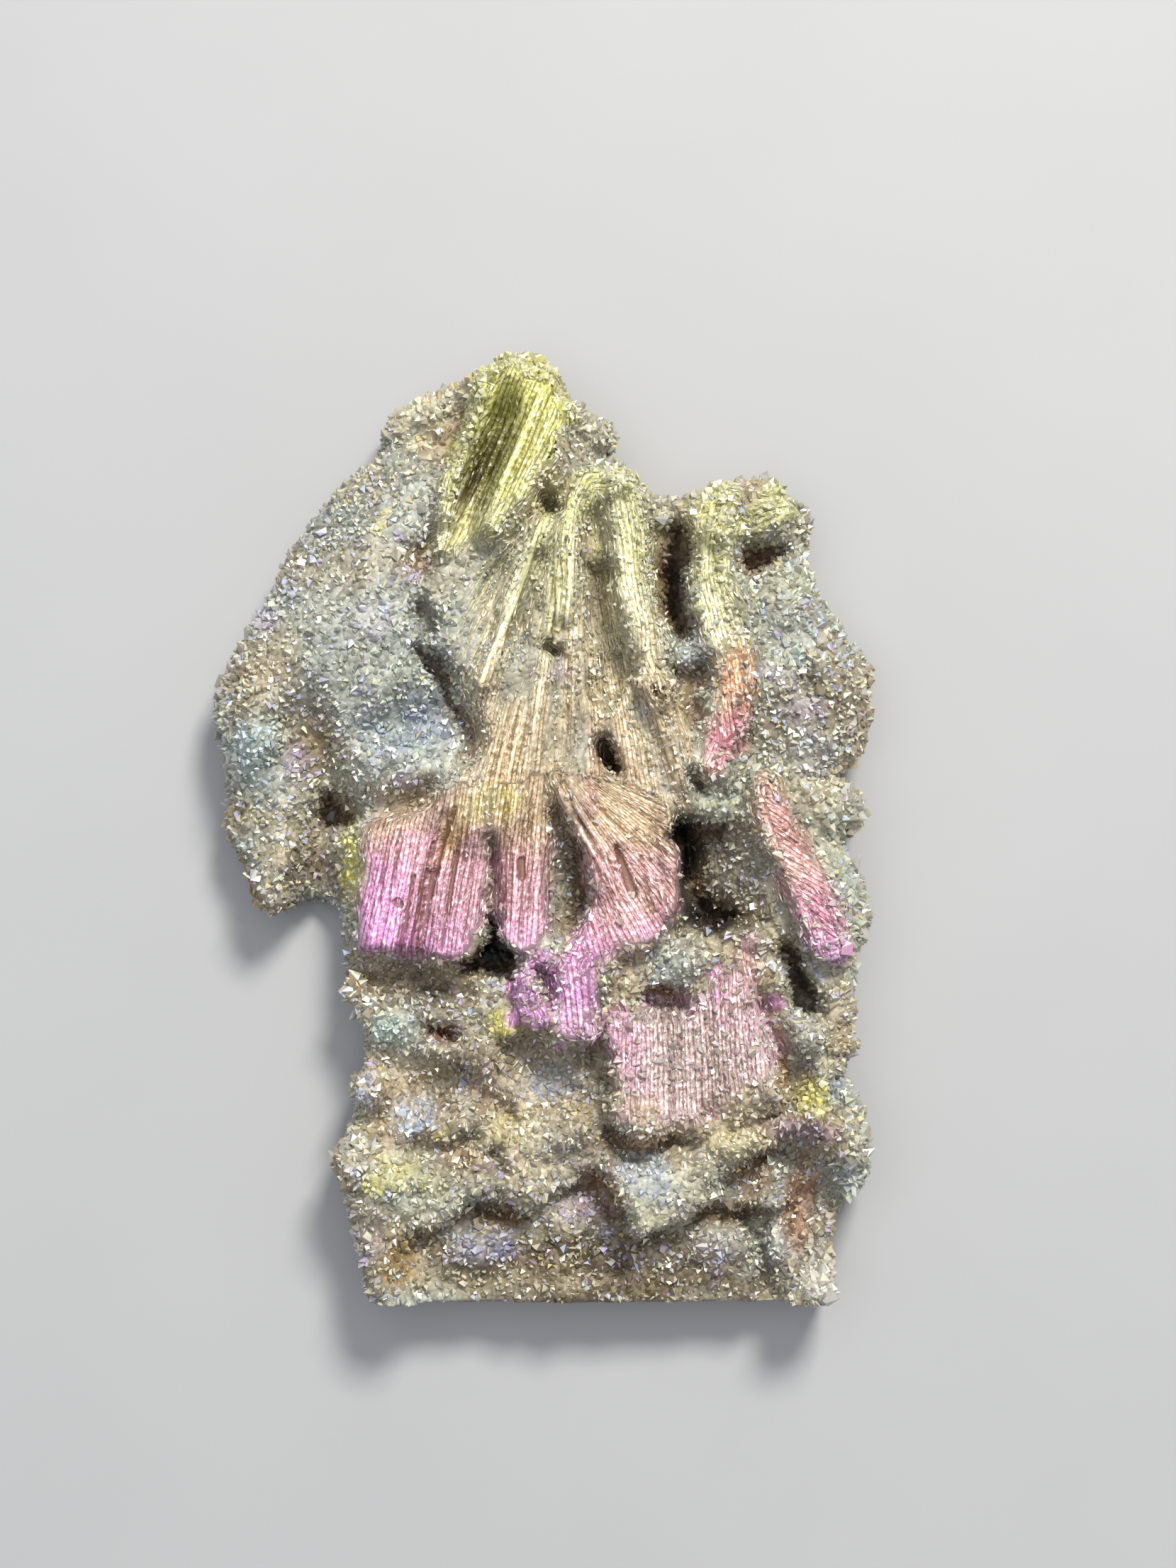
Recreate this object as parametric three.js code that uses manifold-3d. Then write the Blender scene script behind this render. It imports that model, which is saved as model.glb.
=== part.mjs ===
// A slab of sphalerite rock overgrown with quartz druse, in millimetres.
// It lies on its sawn back at Z = 0. +Y runs from the sawn foot up to the peak, +X to the right, +Z out of
// the druse. The slab grew as one piece, so it is one solid: a core, fins that fan up from the middle, a wide
// left lobe, a right lobe, a big hollow with a bar beside it, and a stepped lower block. Quartz points stand
// on it all over.
import * as THREE from "three";
import { mergeVertices } from "three/addons/utils/BufferGeometryUtils.js";
import Module from "manifold-3d";

const wasm = await Module();
wasm.setup();

// ---- Driving dimensions ----
const FOOT_Y = -54.7; // the sawn foot, on which the slab can also be stood up
const FLOOR_LEVEL = 12.6; // thickness of the druse between the raised forms
const CUT_DEPTH = 3.5; // how far the skin is carried behind the sawn back before the saw takes it off
const SKIN_PITCH = 2.17; // spacing of the skin's points across the slab
const SKIN_PITCH_Z = 2.5; // and through its thickness
const TIP_RISE = 1.0; // height of the small quartz tips
const TIP_STRAY = 0.55; // how far each stands off the middle of its cell
const LUMP_PITCH = 5.2; // spacing of the rounded lumps that the quartz grew in
const FINE_LUMP_PITCH = 2.4; // and of the smaller lumps on them
const LUMP_RISE = 0.9;
const WALL_INSET = 0.6; // how far inside the outline the edge of the slab stands at its widest
const WALL_MIDDLE = 9; // the height at which it is widest
const WALL_DRAW = 0.9; // how far it draws in from there to the sawn back
const RIM_ROUNDING = 1.6; // how wide the corner between the front and the edge is rounded over
const CAVE_ROUNDING = 0.8;
const FADE = 1.2; // how wide the edge of a plate fades into the druse
const WANDER = { pitch: 5.5, reach: 1.1 }; // the edges of the forms wander to and fro in waves of this length
const FINE_WANDER = { pitch: 2.1, reach: 0.5 }; // and of this one
const SHOULDER = { reach: 4, drop: 3.4 }; // how far in from the outline the front rolls over, and how deep
const LEFT_SHOULDER = { reach: 9, drop: 3.6 }; // what the left lobe adds to that
const RIGHT_SHOULDER = { reach: 5, drop: 2.4 }; // and the right lobe

// ---- The outline, clockwise from the peak; its lowest two points lie past the sawn foot ----
const OUTLINE = [
  [-2.5, 55.2], [-0.4, 54.8], [1.9, 53.2], [3.2, 50.0], [5.6, 48.1], [8.1, 47.4], [8.9, 44.9], [7.6, 43.0],
  [11.2, 41.3], [11.7, 39.6], [13.0, 38.5], [18.5, 39.0], [20.0, 39.9], [23.0, 40.8], [27.5, 40.9],
  [28.7, 38.3], [30.6, 37.9], [31.8, 35.8], [30.6, 32.2], [32.4, 27.0], [35.0, 23.5], [35.5, 21.8],
  [37.0, 21.2], [38.5, 18.3], [38.4, 13.5], [37.2, 8.6], [34.8, 6.2], [37.2, 4.6], [37.8, 1.8],
  [36.4, -0.8], [35.0, -0.9], [35.4, -2.6], [37.3, -6.8], [38.3, -10.2], [37.8, -12.1], [35.8, -14.8],
  [36.6, -17.0], [36.1, -19.2], [36.6, -20.9], [35.6, -22.4], [36.8, -24.8], [35.4, -26.4], [35.2, -28.5],
  [37.5, -33.2], [37.9, -39.5], [35.4, -43.0], [34.0, -44.8], [33.5, -47.3], [33.9, -53.4], [33.4, -58.4],
  [-19.6, -58.4], [-20.1, -54.2], [-21.6, -47.5], [-22.7, -43.5], [-24.2, -39.0], [-24.1, -36.8],
  [-22.3, -34.8], [-21.3, -32.0], [-22.3, -30.9], [-22.1, -29.2], [-20.4, -27.5], [-20.8, -22.0],
  [-22.9, -19.2], [-22.8, -14.5], [-23.3, -10.7], [-26.5, -8.8], [-28.6, -8.6], [-29.8, -9.6],
  [-31.6, -9.8], [-33.2, -8.9], [-35.0, -4.2], [-37.0, -0.4], [-37.1, 1.6], [-36.6, 3.4], [-37.3, 9.0],
  [-38.4, 14.3], [-37.4, 17.4], [-35.8, 20.8], [-32.8, 25.4], [-29.5, 32.5], [-26.3, 36.5], [-22.4, 41.4],
  [-19.4, 43.2], [-18.7, 47.0], [-17.0, 48.7], [-13.3, 50.8], [-9.0, 52.2], [-8.0, 53.3], [-6.3, 53.4],
  [-5.0, 54.5],
];

// ---- Raised ground: an outline, the level that it stands at, and how far its edge runs ----
const TERRACES = [
  // the fan of fins with the flat plates at its foot
  { level: 16.4, edge: 0.9, outline: [
    [-6.5, 53.0], [1.5, 52.0], [3.2, 46.5], [2.6, 42.0], [8.0, 41.6], [12.6, 38.6], [13.2, 30.0],
    [14.0, 22.0], [15.0, 12.0], [17.4, 6.5], [15.2, 1.5], [15.8, -3.0], [15.6, -9.0], [13.5, -12.6],
    [9.0, -13.4], [6.4, -20.0], [5.8, -24.4], [0.6, -23.6], [-2.6, -20.6], [-3.0, -14.4], [-9.5, -14.8],
    [-13.5, -15.2], [-15.8, -15.6], [-20.9, -13.8], [-20.1, 1.0], [-12.4, 2.8], [-10.4, 6.2], [-8.2, 8.2],
    [-8.2, 12.2], [-10.2, 14.6], [-10.4, 19.6], [-14.2, 21.8], [-13.4, 30.0], [-11.6, 34.0], [-10.4, 40.0],
    [-9.0, 46.0]] },
  // the triangular plate over the lower block
  { level: 16.0, edge: 0.8, outline: [
    [6.9, -20.8], [16.4, -21.2], [20.4, -17.2], [22.6, -14.6], [24.6, -19.4], [27.7, -27.4], [27.4, -31.0],
    [23.0, -33.4], [17.4, -34.9], [12.0, -35.2], [8.3, -34.0], [8.0, -30.0], [8.8, -26.0], [6.9, -24.6]] },
  // the tongue that points down over the foot
  { level: 17.4, edge: 0.9, outline: [
    [7.8, -38.6], [12.0, -37.2], [17.6, -37.4], [20.0, -39.6], [19.8, -42.6], [16.0, -44.6], [12.6, -46.2],
    [11.0, -46.8], [10.2, -45.4], [10.0, -43.4], [8.4, -41.2]] },
];

// ---- Lowered ground, in the same form ----
const STEPS = [
  // the apron along the sawn foot
  { level: 8.8, edge: 0.9, outline: [
    [-14.5, -46.4], [-11.0, -45.6], [-7.6, -43.4], [-5.0, -43.6], [-0.5, -43.9], [0.6, -42.4], [3.0, -41.1],
    [6.4, -40.3], [9.2, -41.8], [10.3, -43.6], [10.4, -45.8], [11.3, -46.9], [12.8, -46.0], [16.0, -45.0],
    [19.6, -43.2], [23.0, -43.8], [28.4, -44.2], [28.6, -50.0], [28.0, -62.0], [-13.0, -62.0],
    [-15.5, -52.0]] },
  // the shelf at the upper left, under the crest
  { level: 11.2, edge: 1.0, outline: [
    [-20.0, 43.6], [-16.0, 43.0], [-10.4, 42.6], [-8.8, 46.4], [-7.4, 50.6], [-8.4, 54.0], [-20.0, 54.0]] },
  // the knob beside the peak
  { level: 11.6, edge: 0.9, outline: [
    [3.4, 51.0], [2.9, 46.0], [3.2, 43.4], [8.0, 42.9], [12.0, 44.0], [10.0, 51.0]] },
  // the left wall of the pink block
  { level: 12.4, edge: 1.1, outline: [
    [-20.4, 0.6], [-20.6, -12.4], [-26.0, -12.4], [-26.0, 2.0], [-22.0, 2.0]] },
];

// ---- Rounded swellings: x, y, radius along, radius across, turn in degrees, rise ----
const SWELLINGS = [
  [-23, 23, 27, 13, 58, 4.2], [-32.5, 10.5, 7, 3.4, 86, 3.0], [-17.0, 7.6, 8, 3.8, -4, 2.6],
  [-16.6, 15.6, 6, 4.6, 30, 1.6], [-31.5, -4.5, 6, 4, 60, 1.6], [-19.2, 34.6, 4.5, 2.6, 60, 0.9],
  [-16.5, 47, 4, 3, 30, 0.8], [4.4, 47.0, 2.6, 2.0, 0, 1.3], [6.6, 45.2, 2.6, 2.2, 0, 1.6],
  [9.0, 40.9, 2.6, 2.0, 30, 0.9], [25.5, 38.0, 6.5, 3.4, 0, 1.8], [28.0, 27.0, 5.6, 5.4, 0, 2.0],
  [31.0, 14.5, 9.5, 8.4, 90, 2.8], [34.0, 18.0, 4.4, 3.4, 70, 1.3], [27.5, 18.5, 4.0, 3.2, 60, 1.0],
  [16.2, 20.4, 3.6, 3.2, 0, 3.4], [17.6, 3.6, 4.6, 2.6, 0, 1.8], [33.0, 3.0, 5.0, 3.2, 0, 1.8],
  [34.4, -7.5, 7.0, 3.4, 70, 1.6], [17.4, -15.0, 4.6, 3.2, 20, 2.2], [22.8, -12.4, 4.8, 1.9, -10, 1.6],
  [30.4, -23.2, 4.6, 3.2, 0, 2.4], [31.8, -29.6, 3.6, 3.2, 40, 2.0], [35.6, -36.0, 5.6, 2.6, 84, 1.4],
  [-17.2, -22.2, 4.4, 3.2, 10, 2.4], [-20.2, -29.8, 3.0, 3.0, 0, 1.8], [-15.4, -40.6, 6.5, 4.4, 10, 2.6],
  [-21.2, -38.0, 4.0, 3.2, 90, 2.0], [-10.8, -26.6, 3.0, 2.4, 40, 1.6], [-15.4, -33.6, 3.6, 2.0, 20, 1.6],
  [2.6, -34.6, 7.0, 3.2, 10, 2.4], [-1.8, -39.6, 4.4, 3.4, 0, 1.8], [4.6, -28.6, 2.4, 1.8, 0, 1.8],
  [-7.0, -26.0, 3.4, 3.2, 0, 2.2], [-4.2, -21.8, 2.6, 2.2, 0, 1.6], [-6.4, -40.8, 3.4, 2.6, 0, 2.2],
  [21.6, -36.0, 4.6, 2.8, 10, 2.4], [2.6, -46.0, 2.8, 3.6, 20, 1.6], [13.6, -49.2, 4.2, 3.0, 20, 1.6],
  [20.2, -48.0, 4.4, 4.0, 0, 1.8], [-7.0, -48.6, 5.6, 2.8, 0, 1.8], [3.0, -52.6, 8.0, 2.6, 0, 1.0],
  [27.2, -48.2, 2.8, 3.6, 0, 2.6], [31.4, -52.0, 3.4, 3.6, 0, 1.8], [-17.6, -48.6, 5.4, 2.6, 84, 1.6],
];

// ---- Smooth ribs: how far the crest stands up, how wide its flanks are, and points as x, y, half width ----
const RIBS = [
  // the fin at the peak: its thin left crest and its broad face
  { rise: 3.4, flank: 1.6, line: [
    [-4.6, 53.4, 0.9], [-6.6, 49.0, 0.8], [-8.8, 44.0, 0.8], [-9.9, 39.0, 0.7], [-11.4, 32.4, 0.3]] },
  { rise: 4.4, flank: 3.4, line: [
    [-1.2, 53.0, 1.2], [0.6, 48.0, 1.9], [-0.6, 43.4, 1.7], [-3.4, 38.6, 0.9], [-5.6, 34.6, 0.2]] },
  // thin ridges below it
  { rise: 2.4, flank: 1.7, line: [
    [0.9, 36.0, 0.3], [-0.6, 32.0, 0.5], [-2.2, 28.0, 0.5], [-4.0, 23.6, 0.5], [-6.6, 17.0, 0.2]] },
  { rise: 1.5, flank: 1.3, line: [[-2.4, 31.6, 0.2], [-3.9, 28.8, 0.3], [-5.4, 25.6, 0.1]] },
  // the arch and the ribs on its two sides
  { rise: 2.2, flank: 1.6, line: [
    [9.0, 39.9, 0.7], [5.4, 39.9, 0.8], [4.2, 37.4, 0.8], [3.7, 33.6, 0.7], [3.3, 28.6, 0.6],
    [2.7, 24.6, 0.3]] },
  { rise: 2.8, flank: 2.0, line: [
    [9.4, 38.6, 0.9], [10.4, 33.6, 1.2], [10.9, 28.6, 1.3], [12.0, 23.6, 1.2], [12.2, 19.6, 1.0],
    [13.6, 15.6, 0.6]] },
  { rise: 4.6, flank: 2.6, line: [
    [20.6, 39.8, 0.6], [19.4, 35.0, 1.4], [19.2, 29.0, 1.6], [20.6, 23.4, 1.7], [22.2, 18.6, 1.8],
    [21.3, 12.4, 1.6], [19.4, 7.4, 0.8]] },
  { rise: 2.4, flank: 1.8, line: [[19.8, 34.0, 0.6], [23.4, 35.2, 0.7], [27.6, 36.8, 0.6]] },
  // ribs that fan out over the plates
  { rise: 1.5, flank: 2.2, line: [[1.9, 6.0, 0.4], [4.2, 2.0, 0.5], [6.2, -2.2, 0.5], [6.8, -6.2, 0.4]] },
  { rise: 1.1, flank: 1.6, line: [[4.6, 3.8, 0.2], [7.0, 1.2, 0.4], [9.2, -1.2, 0.2]] },
  // the curled foot of the plates
  { rise: 1.6, flank: 1.8, line: [
    [5.4, -12.6, 1.0], [3.2, -16.4, 1.2], [3.0, -20.4, 1.5], [3.6, -22.6, 1.6]] },
  { rise: 1.4, flank: 1.4, line: [
    [0.6, -14.8, 0.5], [-1.8, -16.4, 0.5], [-2.3, -18.8, 0.5], [-0.8, -21.2, 0.5]] },
  // the bar beside the big hollow
  { rise: 4.6, flank: 2.4, line: [
    [25.6, 4.8, 1.0], [27.0, 0.4, 1.3], [29.2, -4.4, 1.4], [31.6, -9.2, 1.5], [33.2, -13.2, 1.1]] },
];

// ---- Crests overgrown with quartz, in the same form ----
const CRESTS = [
  // the broad bundle that runs down to the pink block, and the rib beside it
  { rise: 2.4, flank: 4.4, line: [
    [1.6, 32.0, 1.4], [-1.4, 22.0, 1.8], [-4.0, 12.6, 2.4], [-7.0, 4.0, 3.4]] },
  { rise: 1.6, flank: 2.8, line: [[5.6, 22.0, 0.7], [5.2, 15.6, 1.0], [5.4, 9.6, 1.0], [3.6, 3.6, 0.7]] },
  { rise: 2.4, flank: 2.0, line: [[13.6, 15.6, 0.6], [16.0, 10.4, 0.8], [17.0, 6.6, 0.7]] },
  { rise: 1.8, flank: 1.8, line: [
    [14.2, 1.6, 0.5], [15.3, -2.6, 0.6], [15.6, -6.6, 0.6], [15.2, -10.0, 0.4]] },
  // on the lower block
  { rise: 1.6, flank: 2.0, line: [
    [8.4, -25.6, 0.5], [8.5, -32.6, 0.7], [12.4, -34.3, 0.6], [16.6, -33.8, 0.4]] },
  { rise: 3.0, flank: 2.6, line: [
    [25.6, -34.6, 0.5], [29.6, -33.4, 0.8], [33.0, -34.4, 0.7], [35.2, -37.2, 0.4]] },
];

// ---- Hollows: how far the floor is sunk, how wide the walls are, and points as x, y, half width ----
const HOLLOWS = [
  { drop: 2.6, wall: 2.2, line: [
    [-3.8, 47.2, 0.2], [-5.6, 43.6, 0.9], [-7.6, 39.4, 0.9], [-9.4, 34.6, 0.3]] },
  { drop: 3.6, wall: 4.0, line: [[-14.4, 44.4, 0.8], [-10.6, 44.8, 1.0], [-9.2, 47.6, 0.4]] },
  { drop: 5.0, wall: 1.5, line: [[0.7, 38.6, 0.1], [1.3, 37.0, 0.4]] },
  { drop: 3.0, wall: 3.0, line: [[-14.4, 31.6, 0.6], [-12.0, 33.6, 0.2]] },
  { drop: 2.0, wall: 1.6, line: [[-4.9, 29.6, 0.3], [-6.2, 26.4, 0.3]] },
  { drop: 2.2, wall: 1.8, line: [[-0.4, 30.6, 0.3], [-1.6, 26.0, 0.5], [-2.4, 22.0, 0.4]] },
  { drop: 1.6, wall: 2.2, line: [[6.4, 35.6, 0.4], [6.8, 31.6, 0.6]] },
  { drop: 4.6, wall: 2.4, line: [[7.1, 29.4, 0.2], [7.3, 24.6, 0.4], [8.9, 19.2, 1.0], [7.4, 16.6, 0.4]] },
  { drop: 5.0, wall: 1.3, line: [[1.2, 20.5, 0.3], [1.8, 20.0, 0.2]] },
  { drop: 3.6, wall: 1.8, line: [[-13.4, 24.6, 0.3], [-12.6, 23.2, 0.4]] },
  { drop: 3.2, wall: 1.6, line: [
    [-13.6, 20.8, 0.2], [-12.2, 19.0, 0.7], [-10.7, 17.2, 1.0], [-10.1, 15.0, 0.3], [-8.6, 12.9, 0.9],
    [-8.0, 10.2, 0.6], [-8.5, 8.4, 0.2]] },
  { drop: 2.6, wall: 1.8, line: [[19.0, 19.6, 0.1], [18.9, 16.8, 0.3], [18.2, 13.0, 0.1]] },
  { drop: 6.0, wall: 2.0, line: [[23.6, 30.4, 0.4], [24.6, 31.4, 0.6], [26.8, 32.0, 0.1]] },
  { drop: 11.0, wall: 1.5, line: [[6.9, 10.4, 0.2], [7.4, 8.6, 0.6], [8.1, 7.2, 0.2]] },
  { drop: 6.0, wall: 1.5, line: [[17.6, 6.4, 0.1], [18.3, 5.9, 0.2]] },
  { drop: 3.8, wall: 5.2, line: [[-27.4, 13.0, 0.3], [-26.4, 8.0, 0.9], [-24.4, 3.8, 0.5]] },
  { drop: 6.0, wall: 1.8, line: [[-24.4, 2.9, 0.6], [-22.2, 2.2, 0.4]] },
  { drop: 2.0, wall: 2.2, line: [[-20.8, 2.2, 0.2], [-16.4, 3.2, 0.3], [-12.2, 4.8, 0.2]] },
  { drop: 5.4, wall: 4.0, line: [[-25.2, 0.4, 0.6], [-25.4, -4.6, 0.9], [-25.0, -9.0, 1.0]] },
  { drop: 4.6, wall: 1.3, line: [[-6.2, -1.0, 0.0], [-5.8, -4.0, 0.2], [-5.9, -9.4, 0.5]] },
  { drop: 1.4, wall: 1.1, line: [[-10.7, 1.8, 0.0], [-12.0, -3.2, 0.1]] },
  { drop: 1.6, wall: 1.1, line: [[-12.4, -4.8, 0.1], [-13.9, -14.2, 0.2]] },
  { drop: 3.4, wall: 1.8, line: [[-0.4, -16.6, 0.2], [0.4, -18.8, 0.6]] },
  { drop: 4.0, wall: 3.4, line: [
    [-20.2, -16.6, 0.6], [-17.2, -17.0, 0.9], [-14.0, -17.0, 0.6], [-10.4, -18.4, 0.2]] },
  { drop: 4.6, wall: 2.0, line: [[6.9, -25.4, 0.5], [7.2, -28.2, 0.5]] },
  { drop: 1.4, wall: 2.2, line: [[7.2, -29.4, 0.2], [6.4, -32.0, 0.3], [7.6, -34.6, 0.2]] },
  { drop: 3.2, wall: 3.0, line: [[-2.0, -25.0, 0.5], [1.0, -26.6, 0.6], [4.0, -26.8, 0.3]] },
  { drop: 2.6, wall: 2.4, line: [[-3.4, -28.6, 0.4], [1.6, -29.8, 0.6]] },
  { drop: 2.6, wall: 2.4, line: [[-19.6, -33.6, 0.2], [-12.6, -30.6, 0.3], [-8.4, -28.4, 0.2]] },
  { drop: 2.8, wall: 2.2, line: [[-14.2, -36.6, 0.2], [-10.4, -38.0, 0.3], [-8.4, -36.0, 0.2]] },
  { drop: 2.8, wall: 2.0, line: [[19.6, -41.4, 0.3], [23.6, -40.6, 0.5], [25.8, -37.4, 0.2]] },
  { drop: 2.2, wall: 2.2, line: [[19.6, -32.6, 0.2], [24.6, -33.0, 0.3], [27.6, -31.4, 0.2]] },
  { drop: 4.5, wall: 1.6, line: [[12.2, -18.4, 0.1], [14.4, -19.0, 0.4], [16.6, -19.9, 0.1]] },
  { drop: 4.0, wall: 1.8, line: [[-12.6, -22.9, 0.1], [-10.8, -23.6, 0.3]] },
  { drop: 3.4, wall: 1.8, line: [[-5.0, -38.0, 0.2], [-4.2, -39.0, 0.2]] },
  { drop: 3.2, wall: 2.6, line: [[-5.4, -31.4, 0.5], [-4.4, -32.6, 0.4]] },
  { drop: 2.6, wall: 1.7, line: [
    [8.2, -34.9, 0.2], [10.4, -35.7, 0.3], [14.6, -35.3, 0.4], [16.2, -33.8, 0.3]] },
  { drop: 5.6, wall: 4.4, line: [
    [29.0, -36.8, 0.4], [30.2, -40.4, 1.0], [30.2, -44.4, 1.0], [30.6, -48.4, 0.4]] },
  { drop: 3.2, wall: 1.6, line: [[33.9, -29.4, 0.1], [34.5, -33.2, 0.2]] },
  { drop: 3.6, wall: 2.0, line: [[24.5, -44.6, 0.2], [24.7, -48.4, 0.1], [26.6, -52.6, 0.2]] },
  { drop: 2.0, wall: 1.5, line: [[30.3, 19.6, 0.1], [30.8, 17.4, 0.1]] },
  { drop: 3.6, wall: 3.0, line: [[25.4, -20.6, 0.2], [28.6, -26.6, 0.4], [29.4, -30.4, 0.3]] },
  { drop: 1.2, wall: 3.4, line: [[-19.4, 11.4, 0.1], [-16.0, 11.8, 0.3], [-12.6, 13.0, 0.8]] },
  { drop: 3.0, wall: 3.0, line: [[-16.4, -27.6, 0.2], [-13.6, -28.8, 0.4], [-10.6, -27.4, 0.2]] },
  { drop: 2.0, wall: 1.8, line: [[4.6, -42.2, 0.2], [7.0, -42.0, 0.5], [9.2, -44.2, 0.3]] },
  { drop: 2.0, wall: 1.6, line: [[-7.6, -44.2, 0.2], [-5.0, -44.6, 0.4], [-3.2, -44.6, 0.2]] },
  { drop: 2.0, wall: 1.6, line: [[17.6, -44.4, 0.2], [20.4, -43.8, 0.3], [23.6, -44.6, 0.2]] },
];

// ---- Deep openings: an outline, and the level of the floor inside it ----
const OPENINGS = [
  // the tall slot between two fins, whose floor falls to the right
  { floor: (x, y) => 13.0 - 2.2 * (x - 12.6), edge: 0.9, outline: [
    [12.8, 34.8], [16.6, 35.2], [17.4, 31.0], [17.4, 24.6], [14.2, 22.9], [13.4, 26.0], [12.6, 30.0]] },
  // the lens between the plates
  { floor: (x, y) => 14.2 - 1.3 * x, edge: 0.7, outline: [
    [0.3, 1.8], [1.5, 3.0], [2.6, 1.8], [4.3, -2.4], [5.4, -5.2], [5.5, -8.0], [4.4, -10.4], [2.1, -11.9],
    [0.9, -11.2], [0.5, -6.0]] },
  // the big hollow, whose floor climbs to the bar on its right
  { floor: (x, y) => 1.6 + 1.3 * (x - 17) + 0.3 * (y + 6), edge: 0.8, outline: [
    [14.4, -0.8], [15.4, 0.9], [17.6, 0.5], [20.2, 0.0], [22.4, 1.2], [24.2, 0.6], [26.6, -4.6],
    [29.2, -9.8], [29.6, -13.6], [27.2, -13.8], [25.4, -11.2], [21.2, -11.2], [18.1, -12.0], [17.5, -9.6],
    [16.7, -7.0], [16.5, -3.6], [15.4, -1.8]] },
  // the trench that runs on from it
  { floor: (x, y) => 4.0, edge: 1.2, outline: [
    [27.0, -13.4], [28.8, -13.6], [30.4, -17.4], [32.4, -19.8], [31.8, -21.2], [29.2, -20.2],
    [27.8, -17.0]] },
  // the deep hole below the plates
  { floor: (x, y) => 1.4, edge: 0.5, outline: [
    [-6.4, -8.9], [-5.9, -10.6], [-4.5, -12.8], [-3.8, -14.3], [-4.1, -16.5], [-7.0, -16.5], [-9.2, -16.5],
    [-9.7, -14.5], [-7.9, -13.9], [-7.1, -12.0]] },
];

// ---- Caves that run in under the ground beside them: two ends as x, y, z, radius ----
const CAVES = [
  [[16.4, 32.0, 7.0, 2.4], [17.0, 25.6, 6.6, 2.8]],
  [[16.0, 0.6, 7.4, 2.6], [20.6, 0.6, 7.0, 2.6]],
  [[16.6, -5.4, 6.4, 2.6], [17.6, -10.4, 6.0, 3.0]],
  [[20.4, -11.8, 6.6, 2.6], [25.0, -11.9, 7.0, 2.4]],
  [[29.0, -16.0, 6.6, 2.0], [30.6, -19.8, 6.2, 2.2]],
  [[4.9, -3.8, 10.6, 1.4], [5.1, -8.6, 10.4, 1.6]],
  [[5.4, -42.2, 9.6, 1.0], [9.4, -43.4, 9.8, 1.7]],
  [[17.4, -44.4, 10.2, 1.2], [26.6, -44.0, 9.8, 1.6]],
  [[-7.4, -43.6, 10.0, 1.2], [-1.0, -44.2, 10.0, 1.3]],
  [[-24.4, 1.8, 9.0, 1.8], [-24.6, -7.0, 8.0, 1.9]],
  [[13.0, -18.6, 10.8, 0.9], [15.6, -19.6, 10.8, 0.9]],
];

// ---- Flat striated plates, on which no quartz points stand ----
const PLATES = [
  [[-19.8, 0.7], [-14.4, 1.2], [-12.0, 3.6], [-6.8, 6.0], [-6.6, -8.6], [-8.4, -11.6], [-9.2, -14.2],
    [-12.0, -13.6], [-14.6, -15.0], [-17.4, -13.6], [-20.8, -13.4]],
  [[-5.2, 6.0], [0.4, 6.0], [0.3, -10.0], [-0.8, -12.6], [-2.2, -13.4], [-3.8, -12.0], [-5.0, -8.6]],
  [[2.4, 6.0], [8.6, 5.6], [13.6, 3.0], [15.0, -3.4], [14.8, -9.0], [12.6, -12.2], [8.6, -12.6],
    [4.8, -15.0], [5.4, -23.0], [1.4, -23.0], [1.6, -16.0], [4.4, -11.8], [6.4, -7.0], [5.4, -3.0]],
  [[6.9, -21.2], [17.4, -20.6], [20.6, -17.0], [23.6, -12.8], [24.8, -16.6], [27.2, -26.4], [22.8, -30.0],
    [16.4, -32.4], [9.4, -31.6], [8.8, -26.0], [7.4, -24.8]],
  [[24.4, 4.6], [27.2, 4.2], [31.6, -4.6], [34.6, -12.6], [32.4, -13.2], [27.6, -5.4]],
  [[-5.6, 52.6], [1.8, 51.0], [2.6, 46.0], [-2.0, 38.0], [-11.2, 31.4], [-9.6, 40.0]],
  [[0.6, 32.4], [4.4, 32.0], [4.6, 22.0], [0.8, 22.4]],
  [[-5.8, 13.6], [-1.8, 14.4], [-1.6, 5.0], [-8.6, 4.6]],
  [[20.4, 22.0], [24.0, 20.0], [23.0, 11.0], [19.4, 8.6]],
];

// ---- Larger quartz points on the rims and crests: x, y and width ----
const QUARTZ_POINTS = [
  [4.6, 48.0, 2.4], [7.6, 46.6, 2.6], [8.0, 44.4, 2.0], [10.4, 41.2, 2.2], [22.4, 39.6, 2.4],
  [26.2, 39.4, 2.6], [29.6, 36.4, 2.4], [15.0, 21.4, 2.4], [17.2, 20.0, 2.8], [36.2, 17.6, 2.4],
  [14.6, 2.8, 2.2], [18.0, 3.4, 2.6], [36.0, 2.6, 2.6], [15.6, -5.0, 2.0], [19.6, -11.9, 2.2],
  [36.6, -10.6, 2.4], [-3.8, -22.0, 2.2], [34.6, -20.8, 2.0], [-22.0, -18.0, 2.0], [10.6, -45.4, 2.4],
  [-22.6, -38.0, 2.2], [-35.4, 13.0, 2.0], [-16.6, 48.0, 2.0],
];

// ---- Small shape functions ----
const clamp01 = (t) => Math.min(1, Math.max(0, t));
const ease = (t) => clamp01(t) ** 2 * (3 - 2 * clamp01(t));
const mix = (a, b, t) => a + (b - a) * t;

// The larger of a and b, with the corner between them rounded over the width r.
const roundMax = (a, b, r) => Math.max(a, b) + Math.max(r - Math.abs(a - b), 0) ** 2 / (4 * r);

// A repeatable number from 0 to 1 for each lattice point.
function scatter(i, j, k) {
  const s = Math.sin(i * 127.1 + j * 311.7 + k * 74.7) * 43758.5453;
  return s - Math.floor(s);
}

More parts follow.
